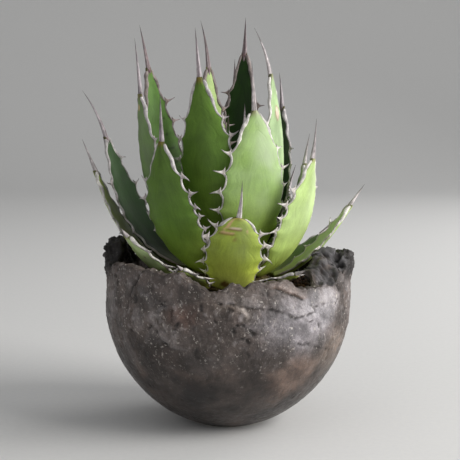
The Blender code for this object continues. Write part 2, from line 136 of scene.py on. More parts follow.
class Shell:
    """Skins of rings that become one mesh, with a colour and three notes at every point."""

    def __init__(self) -> None:
        """Start with nothing."""
        self.points: list[Array] = []
        self.tones: list[Array] = []
        self.notes: list[Array] = []
        self.faces: list[Array] = []
        self.slots: list[Array] = []
        self.count = 0

    def add(self, rings: Array, tones: Array, notes: Array | None = None, slot: int = 0) -> None:
        """Add one closed skin of rings, capped at both ends.

        Args:
            rings: Points, as rings by points round a ring by 3, in millimetres.
            tones: Colours of the same shape, or one colour.
            notes: Three numbers at each point for the finish to read.
            slot: Which finish of the object the skin takes.
        """
        count, around = rings.shape[:2]
        index = np.arange(count * around).reshape(count, around) + self.count
        low, high = index[:-1], index[1:]
        quads = np.stack([low, np.roll(low, -1, 1), np.roll(high, -1, 1), high], -1).reshape(-1, 4)
        self.faces.append(quads)
        self.slots.append(np.full(len(quads), slot))
        ends = []
        for ring, flip in ((index[0], True), (index[-1], False)):
            middle = self.count + count * around + len(ends)
            ends.append(rings[0 if flip else -1].mean(0))
            pairs = np.stack([ring, np.roll(ring, -1)], -1)
            pairs = pairs[:, ::-1] if flip else pairs
            fan = np.column_stack([pairs, np.full(around, middle), np.full(around, middle)])
            self.faces.append(fan)
            self.slots.append(np.full(around, slot))
        tones = np.broadcast_to(np.asarray(tones, float), rings.shape)
        notes = np.zeros(rings.shape) if notes is None else np.broadcast_to(notes, rings.shape)
        self.points.append(np.concatenate([rings.reshape(-1, 3), ends]))
        for kept, given in ((self.tones, tones), (self.notes, notes)):
            caps = [given[0].mean(0), given[-1].mean(0)]
            kept.append(np.concatenate([given.reshape(-1, 3), caps]))
        self.count += count * around + 2

    def build(self, name: str, finishes: list[bpy.types.Material]) -> bpy.types.Object:
        """Make the object.

        Args:
            name: Its name.
            finishes: Its finishes, in slot order.

        Returns:
            The new object, smooth shaded.
        """
        points = np.concatenate(self.points) * MM
        faces = np.concatenate(self.faces)
        slots = np.concatenate(self.slots)
        polygons = [tuple(dict.fromkeys(face)) for face in faces.tolist()]
        mesh = bpy.data.meshes.new(name)
        mesh.from_pydata(points.tolist(), [], polygons)
        mesh.polygons.foreach_set("material_index", slots.astype(np.int32))
        mesh.polygons.foreach_set("use_smooth", np.ones(len(polygons), bool))
        tone = mesh.attributes.new("tone", "FLOAT_COLOR", "POINT")
        colours = np.concatenate([np.concatenate(self.tones), np.ones((len(points), 1))], 1)
        tone.data.foreach_set("color", colours.clip(0, 1).astype(np.float32).ravel())
        notes = mesh.attributes.new("notes", "FLOAT_VECTOR", "POINT")
        notes.data.foreach_set("vector", np.concatenate(self.notes).astype(np.float32).ravel())
        for finish in finishes:
            mesh.materials.append(finish)
        mesh.update()
        made = bpy.data.objects.new(name, mesh)
        bpy.context.scene.collection.objects.link(made)
        return made


class Recipe:
    """The nodes of one finish while they are being joined up."""

    def __init__(self, name: str, roughness: float, specular: float = 0.5, ior: float = 1.45) -> None:
        """Start a finish.

        Args:
            name: Its name.
            roughness: Roughness where nothing drives it.
            specular: Strength of its highlights.
            ior: Index of refraction, lower for a waxy skin that stays dull at a grazing angle.
        """
        self.made = bpy.data.materials.new(name)
        self.made.use_nodes = True
        self.tree = self.made.node_tree
        self.shader = self.tree.nodes["Principled BSDF"]
        self.shader.inputs["Roughness"].default_value = roughness
        self.shader.inputs["Specular IOR Level"].default_value = specular
        self.shader.inputs["IOR"].default_value = ior
        self.place = self.node("ShaderNodeTexCoord").outputs["Object"]

    def node(self, kind: str) -> bpy.types.Node:
        """A new node."""
        return self.tree.nodes.new(kind)

    def feed(self, socket: bpy.types.NodeSocket, value: object) -> None:
        """Give an input a socket, a number or a colour."""
        if isinstance(value, bpy.types.NodeSocket):
            self.tree.links.new(value, socket)
        elif isinstance(value, tuple) and len(value) == 3 and socket.type == "RGBA":
            socket.default_value = (*value, 1.0)
        else:
            socket.default_value = value

    def sums(self, operation: str, first: object, second: object = 0.0) -> bpy.types.NodeSocket:
        """One sum of two numbers."""
        made = self.node("ShaderNodeMath")
        made.operation = operation
        self.feed(made.inputs[0], first)
        self.feed(made.inputs[1], second)
        return made.outputs[0]

    def times(self, first: object, second: object) -> bpy.types.NodeSocket:
        """The product of two numbers."""
        return self.sums("MULTIPLY", first, second)

    def plus(self, first: object, second: object) -> bpy.types.NodeSocket:
        """The total of two numbers."""
        return self.sums("ADD", first, second)

    def swing(self, value: object, low: float, high: float) -> bpy.types.NodeSocket:
        """Noise stretched over its usual range, from low to high."""
        return self.rise(value, 0.3, 0.7, (low, high))

    def note(self, name: str) -> bpy.types.NodeSocket:
        """A vector or a colour that the mesh holds at its points."""
        made = self.node("ShaderNodeAttribute")
        made.attribute_name = name
        return made.outputs["Color" if name == "tone" else "Vector"]

    def split(self, vector: bpy.types.NodeSocket) -> list[bpy.types.NodeSocket]:
        """The three numbers of a vector."""
        made = self.node("ShaderNodeSeparateXYZ")
        self.feed(made.inputs[0], vector)
        return list(made.outputs)

    def join(self, x: object, y: object, z: object) -> bpy.types.NodeSocket:
        """A vector from three numbers."""
        made = self.node("ShaderNodeCombineXYZ")
        for socket, value in zip(made.inputs, (x, y, z)):
            self.feed(socket, value)
        return made.outputs[0]

    def speckle(self, size: float, detail: float, where: object = None) -> bpy.types.NodeSocket:
        """Noise whose bumps are about as wide as size, in metres or in the units of where."""
        made = self.node("ShaderNodeTexNoise")
        self.feed(made.inputs["Vector"], self.place if where is None else where)
        made.inputs["Scale"].default_value = 1 / size
        made.inputs["Detail"].default_value = detail
        return made.outputs[0]

    def grains(self, size: float) -> bpy.types.NodeSocket:
        """Distance from the middle of round cells that are about as wide as size."""
        made = self.node("ShaderNodeTexVoronoi")
        self.feed(made.inputs["Vector"], self.place)
        made.inputs["Scale"].default_value = 1 / size
        return made.outputs["Distance"]

    def rise(
        self, value: object, low: float, high: float, out: tuple[float, float] = (0.0, 1.0)
    ) -> bpy.types.NodeSocket:
        """A smooth rise of value between low and high, to the two numbers in out."""
        made = self.node("ShaderNodeMapRange")
        made.interpolation_type = "SMOOTHSTEP"
        for socket, number in zip(made.inputs, (value, low, high, *out)):
            self.feed(socket, number)
        return made.outputs[0]

    def mix(self, share: object, first: object, second: object) -> bpy.types.NodeSocket:
        """Two colours mixed by a share."""
        made = self.node("ShaderNodeMix")
        made.data_type = "RGBA"
        self.feed(made.inputs[0], share)
        self.feed(made.inputs[6], first)
        self.feed(made.inputs[7], second)
        return made.outputs[2]

    def scale(self, colour: object, amount: bpy.types.NodeSocket) -> bpy.types.NodeSocket:
        """A colour made lighter or darker by a number."""
        made = self.node("ShaderNodeVectorMath")
        made.operation = "SCALE"
        self.feed(made.inputs[0], colour)
        self.feed(made.inputs["Scale"], amount)
        return made.outputs[0]

    def relief(self, height: bpy.types.NodeSocket, distance: float) -> bpy.types.NodeSocket:
        """A bumped normal, from a height of 0 to 1 that stands for distance in metres."""
        made = self.node("ShaderNodeBump")
        made.inputs["Distance"].default_value = distance
        self.feed(made.inputs["Height"], height)
        return made.outputs[0]

    def finish(
        self, colour: object, roughness: object = None, normal: object = None
    ) -> bpy.types.Material:
        """Join colour, roughness and normal to the shader and hand the finish over."""
        for name, value in (("Base Color", colour), ("Roughness", roughness), ("Normal", normal)):
            if value is not None:
                self.feed(self.shader.inputs[name], value)
        return self.made


# ---- finishes ----


@dataclass(frozen=True)
class LeafSkin:
    """The waxy skin of a leaf, with fine streaks, a pale bloom that is partly a painted sheen, painted
    shade along its edge and the prints of its neighbours' edges.
    """

    roughness: float = 0.43
    ior: float = 1.24
    print_pitch: float = 9.3
    # Colour of the pale bloom, partly real wax and partly a painted sheen.
    bloom_and_sheen: Colour = paint(206, 216, 196)
    # Colour of the painted shade that darkens the blade along its edge.
    edge: Colour = paint(62, 66, 38)

    def make(self) -> bpy.types.Material:
        """Write the finish. The notes are millimetres from the edge, millimetres along, and the share
        of pale bloom, which is partly painted sheen.
        """
        r = Recipe("leaf_skin", self.roughness, 0.5, self.ior)
        from_edge, along, bloom_and_sheen = r.split(r.note("notes"))
        tone = r.note("tone")
        grain = r.join(r.times(from_edge, 0.9), r.times(along, 0.12), 0.0)
        streaks = r.speckle(1.0, 4.0, grain)
        patches = r.speckle(9 * MM, 3.0)
        fine = r.speckle(0.8 * MM, 3.0)
        light = r.times(r.swing(streaks, 0.93, 1.07), r.swing(patches, 0.88, 1.1))
        colour = r.scale(tone, r.times(light, r.swing(fine, 0.96, 1.04)))
        turn = r.sums("FRACT", r.sums("DIVIDE", along, self.print_pitch))
        arc = r.sums("ABSOLUTE", r.sums("SUBTRACT", r.times(turn, 2.0), 1.0))
        course = r.plus(r.times(r.sums("POWER", arc, 1.7), 2.6), 4.4)
        away = r.sums("ABSOLUTE", r.sums("SUBTRACT", from_edge, course))
        worn = r.rise(r.speckle(14 * MM, 1.0), 0.5, 0.64)
        print_line = r.times(r.rise(away, 1.0, 0.1), worn)
        # Pale bloom: partly the leaf's own wax, partly a painted sheen of the light on the blade.
        wax_and_sheen = r.times(bloom_and_sheen, r.rise(r.speckle(13 * MM, 2.0), 0.2, 0.75, (0.35, 1.0)))
        colour = r.mix(wax_and_sheen, colour, self.bloom_and_sheen)
        # Painted shade: the blade darkens within about 0.75 mm of its edge.
        rim = r.rise(from_edge, 0.75, 0.25)
        colour = r.mix(r.times(rim, 0.7), colour, self.edge)
        rough = r.swing(patches, self.roughness - 0.06, self.roughness + 0.1)
        height = r.plus(r.times(streaks, 0.5), r.times(print_line, -0.35))
        height = r.plus(height, r.times(fine, 0.22))
        return r.finish(colour, rough, r.relief(height, 0.2 * MM))


@dataclass(frozen=True)
class Horn:
    """The bone-coloured horn of a leaf's margin, teeth and end spine."""

    roughness: float = 0.46

    def make(self) -> bpy.types.Material:
        """Write the finish. The notes are turns across, millimetres along, and nothing."""
        r = Recipe("leaf_horn", self.roughness, 0.4)
        across, along, _ = r.split(r.note("notes"))
        fibres = r.speckle(1.0, 4.0, r.join(r.times(across, 6.0), r.times(along, 0.35), 0.0))
        stains = r.speckle(2.5 * MM, 3.0)
        light = r.times(r.swing(fibres, 0.72, 1.18), r.rise(stains, 0.32, 0.68, (0.72, 1.15)))
        rough = r.swing(stains, self.roughness - 0.1, self.roughness + 0.14)
        return r.finish(r.scale(r.note("tone"), light), rough, r.relief(fibres, 0.16 * MM))


@dataclass(frozen=True)
class FiredClay:
    """Coarse dark clay, fired rough like lava, with pale grog and fine scratches."""

    grog: Colour = paint(196, 188, 180)

    def make(self) -> bpy.types.Material:
        """Write the finish. The notes are grit, gloss and pale dust, each from 0 to 1."""
        r = Recipe("fired_clay", 0.6, 0.5)
        grit, gloss, dust = r.split(r.note("notes"))
        fine = r.speckle(0.7 * MM, 5.0)
        coarse = r.speckle(2.6 * MM, 5.0)
        x, y, z = r.split(r.place)
        drawn = r.speckle(0.9 * MM, 4.0, r.join(x, y, r.times(z, 0.5)))
        blots = r.speckle(11 * MM, 3.0)
        light = r.times(r.swing(coarse, 0.84, 1.16), r.swing(fine, 0.85, 1.16))
        light = r.times(light, r.rise(blots, 0.34, 0.64, (0.62, 1.3)))
        colour = r.scale(r.note("tone"), light)
        clusters = r.rise(r.speckle(7 * MM, 3.0), 0.44, 0.6)
        specks = r.times(r.rise(r.speckle(1.5 * MM, 6.0), 0.6, 0.66), clusters)
        specks = r.times(specks, r.times(grit, 0.75))
        colour = r.mix(specks, colour, self.grog)
        chalk = r.times(r.rise(drawn, 0.6, 0.7), r.times(dust, 0.62))
        colour = r.mix(chalk, colour, self.grog)
        rough = r.sums("SUBTRACT", r.swing(coarse, 0.6, 0.8), r.times(gloss, 0.3))
        height = r.plus(r.times(coarse, 0.7), r.times(r.grains(2.1 * MM), 0.18))
        height = r.plus(height, r.times(fine, 0.3))
        height = r.times(height, r.rise(grit, 0.0, 1.0, (0.22, 1.0)))
        return r.finish(colour, rough, r.relief(height, 0.8 * MM))


@dataclass(frozen=True)
class Loose:
    """A loose or woody matter, such as potting mix, bark or grit. With no colour the mesh holds it."""

    name: str
    size: float
    roughness: float
    colour: Colour | None = None

    def make(self) -> bpy.types.Material:
        """Write the finish."""
        r = Recipe(self.name, self.roughness, 0.3)
        lumps = r.speckle(self.size, 5.0)
        fine = r.speckle(self.size / 5, 4.0)
        light = r.times(r.swing(lumps, 0.55, 1.4), r.swing(fine, 0.7, 1.3))
        rough = r.swing(fine, self.roughness - 0.1, min(1.0, self.roughness + 0.1))
        height = r.plus(lumps, r.times(fine, 0.35))
        colour = r.scale(self.colour or r.note("tone"), light)
        return r.finish(colour, rough, r.relief(height, self.size * 0.35))


# ---- leaves ----


class Green(Enum):
    """The greens of the rosette, each as its colour low on the blade and higher up. The two darkest are
    painted shade, given to leaves that stand in shadow.
    """

    PALE = (paint(176, 194, 92), paint(168, 192, 118))
    SILVER = (paint(150, 176, 92), paint(152, 178, 126))
    BRIGHT = (paint(154, 172, 74), paint(134, 166, 84))
    # Its pale low colour is partly a painted reflection of light at the feet of the front leaves.
    YELLOW = (paint(190, 198, 92), paint(150, 168, 60))
    MIDDLE = (paint(134, 156, 70), paint(88, 118, 46))
    GREY = (paint(76, 100, 46), paint(98, 124, 70))
    # Painted shade: a green darkened for leaves that stand in shadow.
    DEEP = (paint(34, 50, 28), paint(56, 82, 46))
    # Painted shade: the darkest green, for the inner face of a leaf in shadow.
    DARK = (paint(26, 38, 20), paint(34, 54, 22))
    FRESH = (paint(66, 98, 36), paint(82, 116, 48))


class Bone(Enum):
    """The horn of a leaf, as its margin and the middle of its spine."""

    WHITE = (paint(226, 221, 215), paint(206, 197, 197))
    LILAC = (paint(206, 200, 199), paint(186, 176, 180))
    BROWN = (paint(150, 138, 134), paint(142, 128, 130))
    DARK = (paint(86, 76, 76), paint(74, 60, 62))


@dataclass(frozen=True)
class Tooth:
    """A tooth: how far along the blade, its length in millimetres and how far it hooks up."""

    share: float
    length: float
    hook: float = 0.0


def toothed(*rows: tuple[float, float, float]) -> tuple[Tooth, ...]:
    """The teeth of one edge, each as its share, length and hook."""
    return tuple(Tooth(*row) for row in rows)


@dataclass(frozen=True)
class Scar:
    """A mark on a blade: place along and across, size along and across in mm, and on which face."""

    share: float
    across: float
    along_mm: float
    across_mm: float
    colour: Colour
    strength: float = 0.9
    ring: bool = False
    inner: bool = False


SCAB = paint(196, 160, 118)
RUST = paint(112, 58, 30)
WINE = paint(84, 32, 26)
CREAM = paint(222, 196, 178)
FOLD = paint(30, 44, 22)


@dataclass(frozen=True)
class Look:
    """What one leaf looks like, apart from its shape."""

    green: Green = Green.MIDDLE
    bone: Bone = Bone.LILAC
    # Share of pale bloom: partly real wax, partly a painted sheen.
    bloom_and_sheen: float = 0.12
    left: tuple[Tooth, ...] = ()
    right: tuple[Tooth, ...] = ()
    scars: tuple[Scar, ...] = ()


@dataclass(frozen=True)
class LeafPlan:
    """Where a leaf stands and how it grows. Angles in degrees, lengths in millimetres.

    The taper is how soon the blade narrows towards its spine: over 1 sharply, under 1 roundly.
    """

    name: str
    azimuth: float
    foot_radius: float
    lean_at_stem: float
    lean_at_tip: float
    blade: float
    width: float
    spine: float
    sway: float = 0.0
    spine_lean: float = 0.0
    spine_sway: float = 0.0
    foot_share: float = 0.52
    taper: float = 1.2


LEAF_PLANS = (
    LeafPlan("leaf_low_front_left", 243, 27.6, 78, 56, 27, 17, 5),
    LeafPlan("leaf_low_right_back", 28, 27.0, 72, 50, 38, 22, 13),
    LeafPlan("leaf_low_left_back", 134, 26.5, 72, 50, 38, 22, 13),
    LeafPlan("leaf_low_front_right", 306, 27.5, 76, 70, 32, 19, 8),
    LeafPlan("leaf_low_back", 74, 25.0, 66, 42, 46, 24, 14),
    LeafPlan("leaf_low_left_front", 214, 26.0, 76, 42, 45, 21, 6, 3),
    LeafPlan("leaf_low_right", 1, 24.2, 73, 35, 57, 24.5, 13, 1),
    LeafPlan("leaf_outer_left_back", 108, 22.5, 60, 32, 56, 26, 16),
    LeafPlan("leaf_outer_front", 274, 26.6, 39, 12, 40, 29, 19, 8, 0, -8, 0.8, 0.65),
    LeafPlan("leaf_outer_right_back", 48, 21.0, 58, 26, 50, 27, 16),
    LeafPlan("leaf_outer_left", 172, 24.0, 80, 23, 77, 21, 18),
    LeafPlan("leaf_outer_right_front", 327, 20.0, 66, 8, 70, 31, 20, 4, -8),
    LeafPlan("leaf_outer_back", 88, 18.5, 54, 24, 70, 28, 18),
    LeafPlan("leaf_outer_left_front", 227, 17.8, 70, 7, 79, 36, 24, 5),
    LeafPlan("leaf_middle_right", 4, 17.0, 58, 8, 61, 27, 16, 0, 4),
    LeafPlan("leaf_middle_left_back", 161, 20.5, 80, 12, 90, 32, 27, 13, 24, 2),
    LeafPlan("leaf_middle_front", 295, 15.5, 46, 1, 86, 35, 24, -4, 0, 0, 0.52, 1.0),
    LeafPlan("leaf_middle_right_back", 62, 15.5, 58, 13, 78, 27, 18),
    LeafPlan("leaf_middle_left", 205, 13.5, 60, 5, 98, 31, 28, 0, 2),
    LeafPlan("leaf_middle_right_high", 29, 12.9, 47, 0, 86, 29, 18, 2, -8),
    LeafPlan("leaf_middle_back", 85, 11.4, 40, 8, 94, 27, 18),
    LeafPlan("leaf_inner_left_front", 252, 10.8, 38, 6, 99, 31, 24, -3),
    LeafPlan("leaf_inner_right_front", 341, 10.5, 43, -8, 100, 28, 25, -3, -24),
    LeafPlan("leaf_inner_left", 140, 12.9, 55, 2, 112, 28, 23, 12, 4),
    LeafPlan("leaf_inner_left_back", 129, 7.6, 36, 9, 76, 15, 13),
    LeafPlan("leaf_inner_front", 300, 7.4, 25, 1, 64, 21, 16),
    LeafPlan("leaf_inner_right_back", 73, 6.7, 23, 8, 109, 24, 19, 0, -3),
    LeafPlan("leaf_heart_back", 120, 4.6, 16, 7, 98, 18, 25, 0, 0, 14),
    LeafPlan("leaf_heart_front", 225, 4.4, 10, 2, 56, 17, 15),
)

# Left and right are the edges towards lower and higher azimuths.
LOOKS = {
    "leaf_outer_front": Look(
        Green.YELLOW,
        Bone.WHITE,
        0.16,
        toothed((0.2, 3.6, 14), (0.36, 4.6, -26), (0.53, 6.0, -10), (0.7, 7.4, -4), (0.85, 5.6, 26)),
        toothed((0.25, 3.6, 10), (0.43, 5.4, -34), (0.64, 5.4, -12), (0.79, 5.6, 12)),
        (
            Scar(0.86, -0.1, 1.1, 7.0, CREAM, 0.85),
            Scar(0.845, -0.1, 0.6, 8.0, RUST, 0.7),
            Scar(0.8, -0.45, 1.2, 8.0, SCAB, 0.9),
            Scar(0.78, -0.4, 0.6, 9.0, RUST, 0.6),
            Scar(0.9, -0.6, 7.0, 1.4, SCAB, 0.9),
            Scar(0.84, 0.55, 1.6, 1.8, SCAB, 0.8),
            Scar(0.72, -0.1, 2.6, 1.2, RUST, 0.5),
            Scar(0.1, -0.3, 4.6, 4.6, WINE, 0.85),
        ),
    ),
    "leaf_middle_front": Look(
        Green.BRIGHT,
        Bone.WHITE,
        0.46,
        toothed((0.28, 3.2, -16), (0.41, 4.4, 6), (0.53, 5.2, -14), (0.65, 5.4, 10), (0.76, 4.6, 26)),
        toothed((0.3, 3.0, 8), (0.42, 3.6, -18), (0.54, 4.2, 12), (0.65, 4.6, 20), (0.77, 3.4, 8)),
    ),
    "leaf_inner_left_front": Look(
        Green.MIDDLE,
        Bone.LILAC,
        0.03,
        toothed((0.34, 3.2, 8), (0.46, 3.8, -18), (0.58, 4.6, 6), (0.69, 4.8, 18), (0.79, 3.4, 30)),
        toothed((0.36, 3.0, 8), (0.48, 3.4, -14), (0.6, 4.0, 14), (0.7, 4.8, 24), (0.79, 3.0, 12)),
    ),
    "leaf_outer_left_front": Look(
        Green.MIDDLE,
        Bone.LILAC,
        0.04,
        toothed((0.22, 3.2, 10), (0.35, 4.2, -20), (0.47, 5.4, 4), (0.6, 5.8, -12), (0.72, 5.0, 22)),
        toothed(
            (0.3, 3.0, -10), (0.42, 3.4, 16), (0.52, 2.6, 0),
            (0.59, 3.2, -24), (0.68, 4.6, 14), (0.79, 4.4, -30),
        ),
    ),
    "leaf_outer_right_front": Look(
        Green.PALE,
        Bone.WHITE,
        0.3,
        toothed((0.3, 3.4, 4), (0.45, 4.4, -18), (0.55, 3.0, 10), (0.65, 5.2, 6), (0.76, 6.4, 24)),
        toothed((0.24, 3.2, 8), (0.38, 3.8, -16), (0.52, 4.4, 10), (0.66, 4.6, 20), (0.78, 3.0, 8)),
    ),
    "leaf_low_right": Look(
        Green.PALE,
        Bone.WHITE,
        0.16,
        toothed((0.3, 3.2, 6), (0.48, 4.0, -14), (0.64, 4.0, 14), (0.78, 3.4, 24)),
        toothed((0.26, 3.2, 6), (0.42, 3.8, -16), (0.58, 4.2, 12), (0.74, 5.2, 26)),
        (
            Scar(0.5, 0.1, 4.0, 3.0, RUST),
            Scar(0.62, -0.4, 3.2, 2.4, SCAB),
            Scar(0.4, -0.2, 4.0, 4.0, RUST, 0.8),
        ),
    ),
    "leaf_low_left_front": Look(
        Green.PALE,
        Bone.WHITE,
        0.3,
        toothed((0.24, 3.0, 6), (0.42, 3.8, -14), (0.6, 4.2, 10), (0.78, 3.6, 26)),
        toothed((0.28, 3.0, 8), (0.5, 4.6, -24), (0.76, 4.0, 16)),
        (
            Scar(0.35, 0.3, 5.0, 1.0, RUST, 0.6),
            Scar(0.55, -0.2, 4.0, 0.9, RUST, 0.6),
            Scar(0.7, 0.4, 1.4, 1.4, RUST),
        ),
    ),
    "leaf_low_front_left": Look(
        Green.YELLOW,
        Bone.WHITE,
        0.24,
        toothed((0.34, 2.8, 6), (0.6, 3.2, -10), (0.84, 2.8, 20)),
        toothed((0.3, 2.6, 6), (0.54, 3.6, -16), (0.8, 3.2, 20)),
    ),
    "leaf_low_front_right": Look(
        Green.YELLOW,
        Bone.WHITE,
        0.24,
        toothed((0.3, 2.8, 6), (0.54, 3.2, -10), (0.76, 3.0, 20)),
        toothed((0.32, 2.8, 6), (0.55, 3.4, -16), (0.78, 2.8, 20)),
        (Scar(0.86, 0.1, 2.6, 3.0, RUST),),
    ),
    "leaf_middle_left": Look(
        Green.GREY,
        Bone.LILAC,
        0.12,
        scars=(Scar(0.93, 0.1, 3.4, 2.2, SCAB),),
    ),
    "leaf_middle_left_back": Look(
        Green.DEEP,
        Bone.LILAC,
        0.06,
        toothed((0.3, 3.2, 6), (0.42, 3.8, -14), (0.54, 4.2, 10), (0.66, 4.4, 18), (0.84, 5.4, -10)),
        toothed((0.28, 3.2, 6), (0.4, 3.8, -14), (0.52, 4.2, 10), (0.63, 4.6, -8), (0.73, 5.0, 16)),
        (Scar(0.9, -0.2, 4.0, 3.0, RUST, 0.8),),
    ),
    "leaf_outer_left": Look(
        Green.YELLOW,
        Bone.WHITE,
        0.3,
        scars=(
            Scar(0.4, 0.3, 9.0, 1.2, RUST, 0.6),
            Scar(0.6, -0.2, 1.6, 1.6, RUST),
            Scar(0.3, 0.1, 7.0, 1.0, SCAB, 0.6),
        ),
    ),
    "leaf_middle_right": Look(Green.PALE, Bone.WHITE, 0.25),
    "leaf_inner_right_front": Look(
        Green.SILVER,
        Bone.WHITE,
        0.3,
        scars=(Scar(0.8, -0.25, 7.0, 4.4, CREAM, 0.9, True),),
    ),
    "leaf_inner_right_back": Look(Green.DARK, Bone.BROWN, 0.0),
    "leaf_middle_back": Look(Green.DEEP, Bone.BROWN, 0.1),
    "leaf_middle_right_high": Look(Green.DEEP, Bone.LILAC, 0.14),
    "leaf_inner_left": Look(
        Green.FRESH,
        Bone.BROWN,
        0.08,
        toothed(
            (0.34, 3.2, 8), (0.45, 3.8, -14), (0.55, 4.6, 4),
            (0.63, 5.0, 16), (0.72, 5.2, 0), (0.82, 5.6, 10),
        ),
        scars=(
            Scar(0.74, -0.5, 0.9, 7.0, FOLD, 0.8, inner=True),
            Scar(0.66, -0.55, 0.9, 8.0, FOLD, 0.85, inner=True),
            Scar(0.59, -0.5, 0.8, 9.0, FOLD, 0.8, inner=True),
            Scar(0.52, -0.5, 0.8, 8.0, FOLD, 0.7, inner=True),
        ),
    ),
    "leaf_heart_back": Look(Green.PALE, Bone.BROWN, 0.2),
    "leaf_inner_front": Look(Green.FRESH, Bone.LILAC, 0.12),
    "leaf_heart_front": Look(Green.FRESH, Bone.LILAC, 0.12),
    "leaf_inner_left_back": Look(Green.DEEP, Bone.LILAC, 0.12),
}


@dataclass(frozen=True)
class Rosette:
    """Sizes that all the leaves share, in millimetres."""

    soil_top: float = 73.0
    gap: float = 0.3
    stem_foot: float = 25.5
    stem_top: float = 2.2
    stem_height: float = 19.0
    clearance: float = 0.9
    plumpness: float = 0.125
    edge_out: float = 0.68
    largest_foot: float = 0.7
    spine_radius: float = 1.15
    straightening: float = 2.2
    widest: float = 0.44
    tooth_pitch: float = 9.4
    tooth_stretch: float = 1.22
    spine_overlap: float = 5.5
    spine_foot: float = 1.28
    waviness: float = 0.35
    fine_steps: int = 240
    stations_per_mm: float = 0.95
    columns: int = 26


